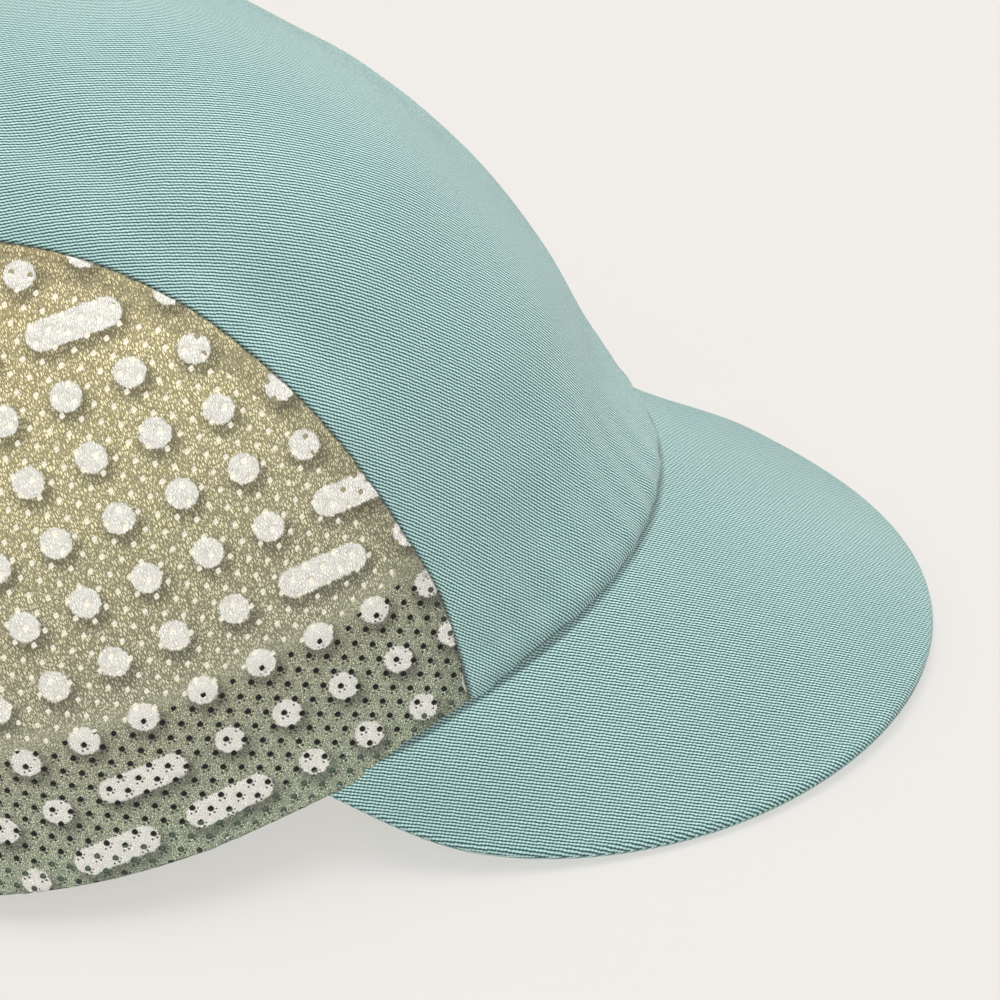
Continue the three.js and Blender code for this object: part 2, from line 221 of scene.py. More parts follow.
# %% [markdown]
# ## Folds and the hang of the cloth
# Worn cotton never lies as smooth as a formula. Each fold is a soft valley along a line, and
# a negative depth makes a swelling, as at the hem. A few slow waves in random directions,
# from a fixed seed, stand for the unevenness of cloth.

# %% Folds and slow waves, pressed along the normal
LEFT_FOLD_SHARE = 0.4  # the cloth lies flatter on the left
fold_lines = []
for start, end, width, depth in FOLDS:
    for hand, share in ((1, 1.0), (-1, LEFT_FOLD_SHARE)):
        ends = [smooth_crown(np.radians(hand * around), up) for around, up in (start, end)]
        fold_lines.append((*ends, width * CROWN_HEIGHT, share * depth * CROWN_HEIGHT))

WAVE_SEED = 7
WAVE_COUNT = 26
WAVE_LENGTHS = (17.0, 60.0)
WAVE_SHARE = 0.0016
chance = np.random.default_rng(WAVE_SEED)
wave_directions = chance.normal(size=(WAVE_COUNT, 3))
wave_directions /= np.linalg.norm(wave_directions, axis=1, keepdims=True)
wave_lengths = chance.uniform(*WAVE_LENGTHS, WAVE_COUNT)
wave_phases = chance.uniform(0, 2 * np.pi, WAVE_COUNT)


def cloth_press(points):
    """How far the cloth is pressed in, in millimetres, at places on the smooth crown."""
    press = np.zeros(points.shape[:-1])
    for start, end, width, depth in fold_lines:
        line = end - start
        share = np.clip((points - start) @ line / (line @ line), 0, 1)
        distance = np.linalg.norm(points - start - share[..., None] * line, axis=-1)
        press += depth * np.exp(-((distance / width)**2))
    for direction, length, phase in zip(wave_directions, wave_lengths, wave_phases):
        swing = np.sin(points @ direction * (2 * np.pi / length) + phase)
        press += WAVE_SHARE * length * swing
    return press


def crown_surface(angle, up):
    points = smooth_crown(angle, up)
    return points - cloth_press(points)[..., None] * outward_normal(smooth_crown, angle, up)


def layer_place(angle, up, depth):
    """The place at some depth under the crown's outer surface."""
    angle, up, depth = np.broadcast_arrays(angle, up, depth)
    normal = outward_normal(crown_surface, angle, up)
    return crown_surface(angle, up) - np.asarray(depth)[..., None] * normal


print(f"{len(fold_lines)} folds and {WAVE_COUNT} waves, {WAVE_LENGTHS[0]:.0f} mm and longer")

# %% [markdown]
# ## From a direction to a place
# The arch seams are plain in a side view, so the panels are laid out by directions from the
# middle of the arch. A few Newton steps turn a direction into the angle and share of the
# crown, in Cartesian form (1 - up) times (cos, sin), which stays regular at the top.

# %% Where a ray from the arch centre leaves the crown
arch_centre = (ARCH_FRONT - ARCH_BACK) / 2
arch_half_length = (ARCH_FRONT + ARCH_BACK) / 2
ray_origin = np.array([0, -arch_centre, 0])
NEWTON_STEPS = 14
NEWTON_REACH = 0.12  # the longest step, as a share of the crown
FIRST_GUESS = (0.93, 0.14)


def ray_direction(climb, lean):
    """Climb turns from the front over the top to the back, lean turns to the wearer's right."""
    forward, up = np.cos(lean) * np.cos(climb), np.cos(lean) * np.sin(climb)
    return np.stack(np.broadcast_arrays(-np.sin(lean), -forward, up), -1)


def crown_place(direction):
    """Angle and share up where rays leave the smooth crown."""
    shape = direction.shape[:-1]
    direction = direction.reshape(-1, 3)
    helper = np.where(np.abs(direction[:, 2:]) < 0.8, [[0.0, 0.0, 1.0]], [[1.0, 0.0, 0.0]])
    first = np.cross(direction, helper)
    first /= np.linalg.norm(first, axis=1, keepdims=True)
    second = np.cross(direction, first)
    shares = np.linspace(0, 1, 400)
    up = np.interp(direction[:, 2] * FIRST_GUESS[0], section_value(0, shares), shares)
    angle = np.arctan2(-direction[:, 0], -direction[:, 1] + FIRST_GUESS[1] * direction[:, 2])
    place = (1 - up) * np.array([np.cos(angle), np.sin(angle)])

    def miss(place):
        up = 1 - np.hypot(*place)
        offset = smooth_crown(np.arctan2(place[1], place[0]), up) - ray_origin
        return np.array([(offset * first).sum(1), (offset * second).sum(1)])

    step = 1e-5
    for _ in range(NEWTON_STEPS):
        here = miss(place)
        along_x = (miss(place + [[step], [0]]) - here) / step
        along_y = (miss(place + [[0], [step]]) - here) / step
        scale = along_x[0] * along_y[1] - along_y[0] * along_x[1]
        move = np.array([
            here[0] * along_y[1] - along_y[0] * here[1],
            along_x[0] * here[1] - here[0] * along_x[1],
        ]) / scale
        place = place - np.clip(move, -NEWTON_REACH, NEWTON_REACH)
    up = 1 - np.hypot(*place)
    angle = np.arctan2(place[1], place[0])
    return angle.reshape(shape), up.reshape(shape)


# %% The lean of the arch seam at each climb
def side_reach(climb, lean):
    """Share of the arch's ellipse that the crown reaches in a side view: 1 on the seam."""
    points = smooth_crown(*crown_place(ray_direction(climb, lean)))
    ahead = -points[..., 1] - arch_centre
    return np.hypot(ahead / arch_half_length, points[..., 2] / ARCH_HEIGHT)


def find_arch_lean(climb):
    low, high = np.full_like(climb, 0.05), np.full_like(climb, 1.5)
    for _ in range(28):
        lean = (low + high) / 2
        outside = side_reach(climb, lean) > 1
        low, high = np.where(outside, lean, low), np.where(outside, high, lean)
    return lean


hem_turns = np.radians(np.linspace(-175, 175, 1401))
hem_line = smooth_crown(hem_turns, np.zeros_like(hem_turns)) - ray_origin
hem_climb = np.arctan2(hem_line[:, 2], -hem_line[:, 1])
hem_lean = np.arctan2(-hem_line[:, 0], np.hypot(hem_line[:, 1], hem_line[:, 2]))
hem_reach = np.hypot(hem_line[:, 1] / arch_half_length, hem_line[:, 2] / ARCH_HEIGHT)
on_right = (hem_turns > 0) & (hem_reach < 1)
front_corner, back_corner = hem_turns[on_right].min(), hem_turns[on_right].max()
corner_climbs = np.interp([front_corner, back_corner], hem_turns, hem_climb)
corner_leans = np.interp([front_corner, back_corner], hem_turns, hem_lean)
arch_climbs = np.linspace(*corner_climbs, 241)
arch_leans = find_arch_lean(arch_climbs)


def seen_from_centre(angle, up):
    """Climb and lean of a place, and its distance below the arch seam in millimetres."""
    offset = smooth_crown(angle, up) - ray_origin
    climb = np.arctan2(offset[..., 2], -offset[..., 1])
    lean = np.arctan2(-offset[..., 0], np.hypot(offset[..., 1], offset[..., 2]))
    reach = np.linalg.norm(offset, axis=-1)
    return climb, lean, (lean - np.interp(climb, arch_climbs, arch_leans)) * reach


print("panel corners at", np.degrees([front_corner, back_corner]).round(1), "degrees around")

# %% [markdown]
# ## Shells
# Every piece of cloth is a closed shell: an outer face, an inner face a thickness below, and
# a wall along every open edge, around the eyelets too. Folded edges are rounded by letting
# both faces run together along a quarter circle. The cap leans on its left front corner, so
# the points of every shell sink a little there, all by the same rule, and stay together.

# %% Place on the floor and the sinking corner
# The crown's oval is centred on the head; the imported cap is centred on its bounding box.
lowest_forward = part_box("peak")[0][1] / MM
shift_back = lowest_forward + HEAD_FRONT + PEAK_LENGTH + GAP
print(f"the head's middle lies {shift_back:.1f} mm behind the middle of the cap")

CORNER_DROP = 4.0
# A direction, where the drop along it is nothing and where it is full, in millimetres
DROP_RANGES = (("left", 30, 55), ("forward", 80, 57), ("forward", 20, 50), ("height", 60, 15))


def corner_drop(points):
    """How far the left front corner sinks, where the cap leans on it, in millimetres."""
    places = {"left": points[:, 0], "forward": -points[:, 1], "height": points[:, 2]}
    drop = np.full(len(points), CORNER_DROP)
    for direction, none, full in DROP_RANGES:
        drop = drop * smooth((places[direction] - none) / (full - none))
    return drop


# %% Making shells
def grid_faces(rows, columns, closed=False):
    """Four-cornered faces of a grid of points, joined around where it is closed."""
    number = np.arange(rows * columns).reshape(rows, columns)
    if closed:
        number = np.concatenate([number, number[:, :1]], 1)
    corners = [number[:-1, :-1], number[:-1, 1:], number[1:, 1:], number[1:, :-1]]
    return np.stack(corners, -1).reshape(-1, 4)


def open_edges(faces):
    """Edges that only one face uses, in the order that the face runs along them."""
    edges = np.stack([faces, np.roll(faces, -1, axis=1)], -1).reshape(-1, 2)
    edges = edges[edges[:, 0] != edges[:, 1]]
    _, first, count = np.unique(np.sort(edges, 1), axis=0, return_index=True, return_counts=True)
    return edges[first[count == 1]]


def make_shell(name, outer, inner, faces, layout, marks, node, material):
    """A closed shell in the frame, with a cloth layout in mm and named values at its points."""
    outer, inner = outer.reshape(-1, 3), inner.reshape(-1, 3)
    count = len(outer)
    edges = open_edges(faces)
    walls = np.stack([edges[:, 1], edges[:, 0], edges[:, 0] + count, edges[:, 1] + count], 1)
    points = np.concatenate([outer, inner]) + [0, shift_back, 0]
    points[:, 2] -= corner_drop(points)
    all_faces = np.concatenate([faces, faces[:, ::-1] + count, walls])
    # A corner that a filled eyelet repeats is named once
    face_lists = [[a for a, b in zip(face, face[1:] + face[:1]) if a != b]
                  for face in all_faces.tolist()]
    mesh = bpy.data.meshes.new(name)
    mesh.from_pydata((points * MM).tolist(), [], face_lists)
    corner_points = np.empty(len(mesh.loops), dtype=np.int32)
    mesh.loops.foreach_get("vertex_index", corner_points)
    uv = mesh.uv_layers.new(name="cloth")
    uv.data.foreach_set("uv", layout.reshape(-1, 2)[corner_points % count].ravel())
    for mark, values in marks.items():
        attribute = mesh.attributes.new(mark, "FLOAT", "POINT")
        attribute.data.foreach_set("value", np.tile(np.ravel(values), 2))
    tidy = bmesh.new()
    tidy.from_mesh(mesh)
    bmesh.ops.dissolve_degenerate(tidy, dist=1e-6, edges=tidy.edges)
    bmesh.ops.recalc_face_normals(tidy, faces=tidy.faces)
    tidy.to_mesh(mesh)
    tidy.free()
    mesh.polygons.foreach_set("use_smooth", np.ones(len(mesh.polygons), dtype=bool))
    piece = bpy.data.objects.new(name, mesh)
    bpy.context.scene.collection.objects.link(piece)
    mesh.materials.append(material)
    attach(piece, "root")
    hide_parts(node)
    triangles = sum(len(polygon.vertices) - 2 for polygon in mesh.polygons)
    print(f"{name}: {triangles} triangles")
    return piece


def edge_steps(length, step, near=(0, 0.12, 0.3, 0.52, 0.8, 1.2, 1.8, 2.7)):
    """Shares along a length, close together at both ends where the cloth is folded."""
    near = np.array(near)
    middle = np.linspace(near[-1], length - near[-1], int(round(length / step)))[1:-1]
    return np.concatenate([near, middle, length - near[::-1]]) / length


def rolled_depth(distance, radius):
    """Depth of a rounded edge at a distance from its end."""
    short = radius - np.clip(distance, 0, radius)
    return radius - np.sqrt(np.maximum(radius**2 - short**2, 0))


def run_length(points, axis=0):
    """Length along a grid of points, from its first row or column."""
    steps = np.linalg.norm(np.diff(points, axis=axis), axis=-1)
    start = np.zeros_like(np.take(steps, [0], axis=axis))
    return np.concatenate([start, np.cumsum(steps, axis=axis)], axis=axis)


# %% [markdown]
# ## Materials
# One function turns the sRGB hex of a colour into the linear values that Blender works in,
# and one adds a node, with its settings and its links.

# %% Colour and nodes
def linear(hex_colour, alpha=1.0):
    values = np.array([int(hex_colour[i:i + 2], 16) for i in (0, 2, 4)]) / 255
    values = np.where(values <= 0.04045, values / 12.92, ((values + 0.055) / 1.055)**2.4)
    return (*values.tolist(), alpha)


def add_node(tree, kind, inputs=None, **settings):
    """Adds a node. Each input is a value, a node whose first output is linked, or an output."""
    node = tree.nodes.new("ShaderNode" + kind)
    for name, value in settings.items():
        setattr(node, name, value)
    for key, value in (inputs or {}).items():
        if isinstance(value, bpy.types.Node):
            value = value.outputs[0]
        if isinstance(value, bpy.types.NodeSocket):
            tree.links.new(value, node.inputs[key])
        else:
            node.inputs[key].default_value = value
    return node


def start_material(name):
    material = bpy.data.materials.new(name)
    material.use_nodes = True
    material.node_tree.nodes.clear()
    return material, material.node_tree


def finish_material(tree, shader):
    add_node(tree, "OutputMaterial", {"Surface": shader})


# %% [markdown]
# ## Teal cotton twill
# Twill is woven so that each thread floats over several others, one step further along in
# every row. The eye sees raised diagonal ribs with thin darker lines between them, each rib
# broken into short thread floats. Cotton is matte: a high roughness and a little sheen. The
# ribs are worked out from their real spacing. Less light reaches the folds at the edges, so
# there the colour is painted darker, as painted shade.

# %% Sizes and colours of the twill, in millimetres
CROWN_RIB_PITCH = 0.5
PEAK_RIB_PITCH = 0.475
CROWN_RIB_DEGREES = 66
PEAK_RIB_DEGREES = 108
FLOAT_PITCH = 0.6
FLOAT_SLANT_DEGREES = 28
CROWN_FLOATS = 0.26
PEAK_FLOATS = 0.35
THREAD_WANDER = 0.28
WANDER_SCALE = 0.9  # noise scales count waves per millimetre
YARN_SCALE = 5.5
DYE_SCALE = 0.028
TWILL_LIGHT = "c8eae7"
TWILL_DARK = "225557"
# Painted shade at folded edges and seams: the share of the colour left, and its width in mm
FOLD_SHADE = 0.4
FOLD_SHADE_WIDTH = 0.7
WAVE_PERIOD = 0.314159  # a wave texture of scale 1 repeats after this length
print(f"{10 / CROWN_RIB_PITCH:.0f} ribs to a centimetre on the crown")

# %% Teal twill
def make_twill(name, rib_degrees, rib_pitch, float_share):
    material, tree = start_material(name)
    layout = add_node(tree, "UVMap", uv_map="cloth")
    along_ribs = add_node(tree, "VectorRotate", {
        "Vector": layout, "Angle": np.radians(-rib_degrees)}, rotation_type="Z_AXIS")
    uneven = add_node(tree, "TexNoise", {
        "Vector": layout, "Scale": WANDER_SCALE, "Detail": 2.0})
    drift = add_node(tree, "VectorMath", {0: uneven.outputs["Color"], 1: (0.5, 0.5, 0.5)},
                     operation="SUBTRACT")
    pulled = add_node(tree, "VectorMath", {
        0: drift, 1: (THREAD_WANDER, THREAD_WANDER, 0), 2: along_ribs},
        operation="MULTIPLY_ADD")
    ribs = add_node(tree, "TexWave", {"Vector": pulled, "Scale": WAVE_PERIOD / rib_pitch},
                    bands_direction="Y")
    slanted = add_node(tree, "VectorRotate", {
        "Vector": pulled, "Angle": np.radians(FLOAT_SLANT_DEGREES)}, rotation_type="Z_AXIS")
    floats = add_node(tree, "TexWave", {"Vector": slanted, "Scale": WAVE_PERIOD / FLOAT_PITCH},
                      bands_direction="X")
    yarn = add_node(tree, "TexNoise", {"Vector": layout, "Scale": YARN_SCALE, "Detail": 3.0})
    rib_crest = add_node(tree, "Math", {0: ribs.outputs["Fac"], 1: 0.75}, operation="POWER")
    float_part = add_node(tree, "Math", {0: floats.outputs["Fac"], 1: float_share},
                          operation="MULTIPLY")
    crest = add_node(tree, "Math", {0: rib_crest, 1: float_part}, operation="SUBTRACT")
    weave = add_node(tree, "Math", {0: yarn.outputs["Fac"], 1: 0.5, 2: crest},
                     operation="MULTIPLY_ADD")
    tone = add_node(tree, "MapRange", {"Value": weave, "From Min": 0.33, "From Max": 1.1})
    dye = add_node(tree, "TexNoise", {"Vector": layout, "Scale": DYE_SCALE, "Detail": 2.0})
    cloth_colour = add_node(tree, "Mix", {
        0: tone.outputs[0], 6: linear(TWILL_DARK), 7: linear(TWILL_LIGHT)}, data_type="RGBA")
    shade = add_node(tree, "MapRange", {
        "Value": dye.outputs["Fac"], "From Min": 0.3, "From Max": 0.7,
        "To Min": 0.96, "To Max": 1.03})
    # Painted shade: the colour is darker near folded edges and seams, read from the from_edge mark
    from_edge = add_node(tree, "Attribute", attribute_name="from_edge").outputs["Fac"]
    painted_fold_shade = add_node(tree, "MapRange", {
        "Value": from_edge, "From Min": 0.0, "From Max": FOLD_SHADE_WIDTH,
        "To Min": FOLD_SHADE, "To Max": 1.0}, interpolation_type="SMOOTHSTEP")
    shade = add_node(tree, "Math", {0: shade.outputs[0], 1: painted_fold_shade.outputs[0]},
                     operation="MULTIPLY")
    colour = add_node(tree, "VectorMath", {0: cloth_colour.outputs[2], 1: shade},
                      operation="MULTIPLY")
    bump = add_node(tree, "Bump", {"Strength": 0.55, "Distance": 0.00022, "Height": weave})
    shader = add_node(tree, "BsdfPrincipled", {
        "Base Color": colour, "Roughness": 0.86, "Normal": bump,
        "Specular IOR Level": 0.25, "Sheen Weight": 0.38, "Sheen Roughness": 0.4,
        "Sheen Tint": linear("eef6f4")})
    finish_material(tree, shader)
    return material


crown_twill = make_twill(
    "teal_cotton_twill_crown", CROWN_RIB_DEGREES, CROWN_RIB_PITCH, CROWN_FLOATS)
peak_twill = make_twill(
    "teal_cotton_twill_peak", PEAK_RIB_DEGREES, PEAK_RIB_PITCH, PEAK_FLOATS)
print("twill made with", len(crown_twill.node_tree.nodes), "nodes")

# %% [markdown]
# ## The centre panel
# One long piece of twill from the forehead seam over the top to the nape. Its grid runs
# along the panel and across from seam to seam, with close rows at the folded edges, so that
# the cloth rolls into each seam. Over the forehead it puffs slightly where it is sewn down
# to the peak, with small puckers that the stitches pull into it.

# %% Places and layout of the centre panel
PANEL_LENGTH = 290.0
PANEL_WIDTH = 108.0
FINE_STEP = 1.5

along = edge_steps(PANEL_LENGTH, FINE_STEP)[:, None]
across = (edge_steps(PANEL_WIDTH, FINE_STEP) * 2 - 1)[None, :]
seam_climb = corner_climbs[0] + (corner_climbs[1] - corner_climbs[0]) * along
seam_lean = np.interp(seam_climb, arch_climbs, arch_leans)
in_front = np.abs(hem_turns) <= front_corner
front_order = np.argsort(hem_lean[in_front])
front_hem = np.interp(np.abs(across) * corner_leans[0], hem_lean[in_front][front_order],
                      hem_climb[in_front][front_order])
climb = (seam_climb + (1 - along) * (front_hem - corner_climbs[0])
         + along * (np.pi - corner_climbs[1]))
panel_angle, panel_up = crown_place(ray_direction(climb, across * seam_lean))
panel_up = np.clip(panel_up, 0, 1)

flat = smooth_crown(panel_angle, panel_up)
run = run_length(flat, 0)
spread = run_length(flat, 1)
half_spread = spread[:, -1:] / 2
middle = run.shape[1] // 2
below = np.minimum(climb - climb[0, middle], 0) * HEAD_FRONT
beyond = np.maximum(climb - climb[-1, middle], 0) * HEAD_BACK
cloth_run = np.interp(climb, climb[:, middle], run[:, middle]) + below + beyond
layout = np.stack([spread - half_spread, cloth_run], -1)
print(f"centre panel {run[-1].max():.0f} mm long, {spread[:, -1].max():.0f} mm across")

# %% Rolled edges, puffs and puckers of the centre panel
SEAM_PUFF, SEAM_PUFF_PLACE, SEAM_PUFF_WIDTH = 0.5, 3.2, 2.4
FOREHEAD_PUFF, FOREHEAD_PUFF_PLACE, FOREHEAD_PUFF_WIDTH = 0.6, 3.0, 2.6
CREASE, CREASE_PLACE, CREASE_WIDTH = 0.5, -0.3, 1.1
PUCKER_HEIGHT, PUCKER_LENGTH = 0.32, 7.6
PUCKER_START, PUCKER_RISE, PUCKER_FADE = 3.0, 7.0, 15.0
PUCKER_WANDER, PUCKER_WANDER_LENGTH = 1.3, 7.1


def swell(distance, width):
    """A soft hill, 1 at its middle."""
    return np.exp(-((distance / width)**2))


from_seam = (1 - np.abs(across)) * half_spread
from_front = run
from_back = run[-1:] - run
from_edge = np.minimum(np.minimum(from_front, from_back), from_seam)

rolled = rolled_depth(from_edge, TWILL_THICKNESS / 2)
above_peak = from_front - PEAK_THICKNESS
fade = np.exp(-np.maximum(from_front - PUCKER_START, 0) / PUCKER_FADE)
pucker_turn = (layout[..., 0] * 2 * np.pi / PUCKER_LENGTH
               + PUCKER_WANDER * np.sin(layout[..., 0] / PUCKER_WANDER_LENGTH))
lift = (SEAM_PUFF * swell(from_seam - SEAM_PUFF_PLACE, SEAM_PUFF_WIDTH)
        + FOREHEAD_PUFF * swell(above_peak - FOREHEAD_PUFF_PLACE, FOREHEAD_PUFF_WIDTH)
        - CREASE * swell(above_peak - CREASE_PLACE, CREASE_WIDTH)
        + PUCKER_HEIGHT * fade * smooth(from_front / PUCKER_RISE) * np.sin(pucker_turn))
# The from_edge mark gives painted shade at the panel's rolled edges and seams
make_shell(
    "centre_panel_cloth",
    layer_place(panel_angle, panel_up, rolled - lift),
    layer_place(panel_angle, panel_up, TWILL_THICKNESS - rolled - lift),
    grid_faces(*panel_angle.shape), layout, {"from_edge": from_edge},
    "centre_panel", crown_twill)

# %% [markdown]
# ## A flat layout for each side panel
# Eyelets are punched on an even grid while the mesh is flat, so the panel needs a layout in
# millimetres. Distances are kept along lines that fan out from the middle of the panel: a
# table of lengths along each line is read backwards to find a place from a distance.

# %% Layout of a side panel
PANEL_MIDDLE_LIFT = np.radians(30)
panel_axis = np.array([-np.cos(PANEL_MIDDLE_LIFT), 0, np.sin(PANEL_MIDDLE_LIFT)])
axis_forward = np.array([0.0, -1.0, 0.0])
axis_up = np.array([np.sin(PANEL_MIDDLE_LIFT), 0, np.cos(PANEL_MIDDLE_LIFT)])
fan_bearings = np.radians(np.arange(-180, 181, 3))
fan_turns = np.radians(np.linspace(0, 88, 59))


def fan_direction(bearing, turn):
    around = (np.cos(bearing)[..., None] * axis_forward + np.sin(bearing)[..., None] * axis_up)
    return np.cos(turn)[..., None] * panel_axis + np.sin(turn)[..., None] * around


bearing_grid, turn_grid = np.meshgrid(fan_bearings, fan_turns, indexing="ij")
fan_angle, fan_up = crown_place(fan_direction(bearing_grid, turn_grid))
LOWEST_UP = -0.12  # the layout runs on a little below the hem
fan_lengths = run_length(smooth_crown(fan_angle, np.maximum(fan_up, LOWEST_UP)), 1)
print(f"layout of {fan_lengths.shape[0]} lines of {fan_lengths.shape[1]} places")


def layout_to_place(layout):
    """Angle and share up for places in the flat layout: x forward, y up, in millimetres."""
    bearing = np.arctan2(layout[:, 1], layout[:, 0])
    distance = np.hypot(layout[:, 0], layout[:, 1])
    column = (bearing - fan_bearings[0]) / (fan_bearings[1] - fan_bearings[0])
    low = np.clip(np.floor(column).astype(int), 0, len(fan_bearings) - 2)
    share = column - low
    turns = []
    for pick in (low, low + 1):
        rows = fan_lengths[pick]
        step = np.clip((rows < distance[:, None]).sum(1), 1, rows.shape[1] - 1)
        nearer, farther = rows[np.arange(len(rows)), step - 1], rows[np.arange(len(rows)), step]
        between = (distance - nearer) / np.maximum(farther - nearer, 1e-9)
        turns.append((step - 1 + np.clip(between, 0, 3)) * (fan_turns[1] - fan_turns[0]))
    turn = turns[0] * (1 - share) + turns[1] * share
    return crown_place(fan_direction(bearing, np.minimum(turn, fan_turns[-1])))


# %% [markdown]
# ## Eyelets in the mesh
# The holes of the mesh are real holes here, because the lining and the sweatband show
# through them. They stand in staggered rows like bricks. Each cell has a rounded diamond of
# eight corners, a rolled rim, and an outline that it shares with its neighbours. Nearest to
# a seam the cloth stays plain: there the corners of a hole are drawn into one point.

# %% The eyelet net, laid flat
EYELET_SPACING = 2.95
EYELET_ROW = 2.6
EYELET_RADIUS = (0.5, 0.61)
RIM_WIDTH = 0.22
DIAMOND_WAIST = 0.8

cell_columns = np.arange(-36, 37)
cell_rows = np.arange(-30, 34)
column_grid, row_grid = np.meshgrid(cell_columns, cell_rows)
centre_x = (column_grid + 0.5 * (row_grid % 2)).ravel() * EYELET_SPACING
centre_y = row_grid.ravel() * EYELET_ROW
corner_turns = np.arange(8) * np.pi / 4
diamond = np.where(np.arange(8) % 2 == 0, 1.0, DIAMOND_WAIST)
outline_x = np.array([0.5, 0.5, 0, -0.5, -0.5, -0.5, 0, 0.5]) * EYELET_SPACING
outline_y = np.array([0, 0.5, 0.5, 0.5, 0, -0.5, -0.5, -0.5]) * EYELET_ROW
rings = []
for rim in (0, RIM_WIDTH):
    rings.append(((EYELET_RADIUS[0] + rim) * diamond * np.cos(corner_turns),
                  (EYELET_RADIUS[1] + rim) * diamond * np.sin(corner_turns)))
rings.append((outline_x, outline_y))
net_x = np.stack([centre_x[:, None] + x for x, _ in rings], 1)
net_y = np.stack([centre_y[:, None] + y for _, y in rings], 1)
net_points = np.stack([net_x, net_y], -1).reshape(-1, 2)
number = np.arange(len(net_points)).reshape(-1, 3, 8)
net_faces = []
for inner_ring, outer_ring in ((0, 1), (1, 2)):
    near, far = number[:, inner_ring], number[:, outer_ring]
    net_faces.append(np.stack([near, far, np.roll(far, -1, 1), np.roll(near, -1, 1)], -1))
net_faces = np.concatenate(net_faces, 1).reshape(-1, 4)
STEPS_PER_MM = 200  # points that round to the same step are one point
_, first_use, shared = np.unique(np.round(net_points * STEPS_PER_MM).astype(int), axis=0,
                                 return_index=True, return_inverse=True)
net_points, net_faces = net_points[first_use], shared.ravel()[net_faces]
net_ring = (np.arange(len(number) * 24) // 8 % 3)[first_use]
print("flat net:", len(net_points), "points,", len(net_faces), "faces")

# %% The net on the crown, pulled onto the seams
PLAIN_MARGIN = 1.3  # eyelets nearer to a seam than this are left out
ROW_TURN = np.radians(-4)
NET_REACH = 106
turn = np.array([[np.cos(ROW_TURN), np.sin(ROW_TURN)], [-np.sin(ROW_TURN), np.cos(ROW_TURN)]])
near_panel = np.hypot(*net_points.T) < NET_REACH
net_angle, net_up = np.zeros(len(net_points)), np.full(len(net_points), 2.0)
net_angle[near_panel], net_up[near_panel] = layout_to_place(net_points[near_panel] @ turn)
_, _, below_arch = seen_from_centre(net_angle, np.minimum(net_up, 1))
eyelets = shared.ravel()[number[:, 0]]
hem_slope = CROWN_HEIGHT * SECTIONS[1, 0] * (len(SECTIONS) - 1)
above_hem = net_up[eyelets].mean(1) * hem_slope
filled = eyelets[(below_arch[eyelets].mean(1) < PLAIN_MARGIN) | (above_hem < PLAIN_MARGIN)]
for values in (net_points, net_angle, net_up, below_arch):
    values[filled[:, 0]] = values[filled].mean(1)
merged = np.arange(len(net_points))
merged[filled] = filled[:, :1]
net_faces = merged[net_faces]
outside = (below_arch < 0) | (net_up < 0) | (net_up > 1)
kept = ~outside[net_faces].all(1)
used, inverse = np.unique(net_faces[kept], return_inverse=True)
net_faces = inverse.reshape(-1, 4)
net_layout, net_ring = net_points[used], net_ring[used]
net_angle, net_up = net_angle[used], net_up[used]
pulled = below_arch[used] < 0
net_climb, _, _ = seen_from_centre(net_angle[pulled], net_up[pulled])
onto_seam = ray_direction(net_climb, np.interp(net_climb, arch_climbs, arch_leans))
net_angle[pulled], net_up[pulled] = crown_place(onto_seam)
net_up = np.clip(net_up, 0, 1)
on_edge = pulled | (net_up <= 0)
net_faces = net_faces[~on_edge[net_faces].all(1)]
print("side panel:", (net_ring == 0).sum() // 8, "eyelets,", len(net_faces), "faces")

# %% [markdown]
# ## Printed eyelet mesh
# Polyester mesh is knitted, not woven: the ground is a fine pebbly grain of loops. It is
# printed, so the colours lie in the cloth. The ground runs from warm gold at the top to grey
# green at the hem. On it stands a print of white dots on an even grid, with a few plain
# pill shapes, each dot with a soft shade at its lower edge, as if it floated. Polyester is
# smoother than cotton, so it is a little glossier.

# %% Distance to the print, in millimetres
DOT_SPACING = 10.2
DOT_RADIUS = 2.45
DOT_TURN = -31
PILL_SHARE = 0.09
FAR_AWAY = 100.0
print(f"dots {2 * DOT_RADIUS:.1f} mm wide, one every {DOT_SPACING:.1f} mm")


def print_distance(tree, layout, shift=(0, 0)):
    """Distance in millimetres from the nearest dot or pill of the print."""
    moved = add_node(tree, "VectorMath", {0: layout, 1: (-shift[0], -shift[1], 0)})
    lattice = add_node(tree, "VectorRotate", {"Vector": moved, "Angle": np.radians(DOT_TURN)},
                       rotation_type="Z_AXIS")
    cell = add_node(tree, "VectorMath", {0: lattice, 1: (1 / DOT_SPACING,) * 3},
                    operation="MULTIPLY")
    distances = []
    for pill in (False, True):
        shift_across = 0.0 if pill else 0.5
        start = add_node(tree, "VectorMath", {0: cell, 1: (shift_across, 0.5, 0)})
        place = add_node(tree, "VectorMath", {0: start}, operation="FRACTION")
        centred = add_node(tree, "VectorMath", {0: place, 1: (0.5, 0.5, 0)}, operation="SUBTRACT")
        flat = add_node(tree, "VectorMath", {0: centred, 1: (DOT_SPACING, DOT_SPACING, 0)},
                        operation="MULTIPLY")
        if pill:
            index = add_node(tree, "VectorMath", {0: start}, operation="FLOOR")
            draw = add_node(tree, "TexWhiteNoise", {"Vector": index}, noise_dimensions="2D")
            absent = add_node(tree, "Math", {0: draw.outputs["Value"], 1: PILL_SHARE},
                              operation="GREATER_THAN")
            parts = add_node(tree, "SeparateXYZ", {0: flat})
            across = add_node(tree, "Math", {0: parts.outputs["Y"]}, operation="ABSOLUTE")
            distance = add_node(tree, "Math", {0: absent, 1: FAR_AWAY, 2: across},
                                operation="MULTIPLY_ADD")
        else:
            distance = add_node(tree, "VectorMath", {0: flat}, operation="LENGTH").outputs["Value"]
        distances.append(distance)
    return add_node(tree, "Math", {0: distances[0], 1: distances[1]}, operation="MINIMUM")


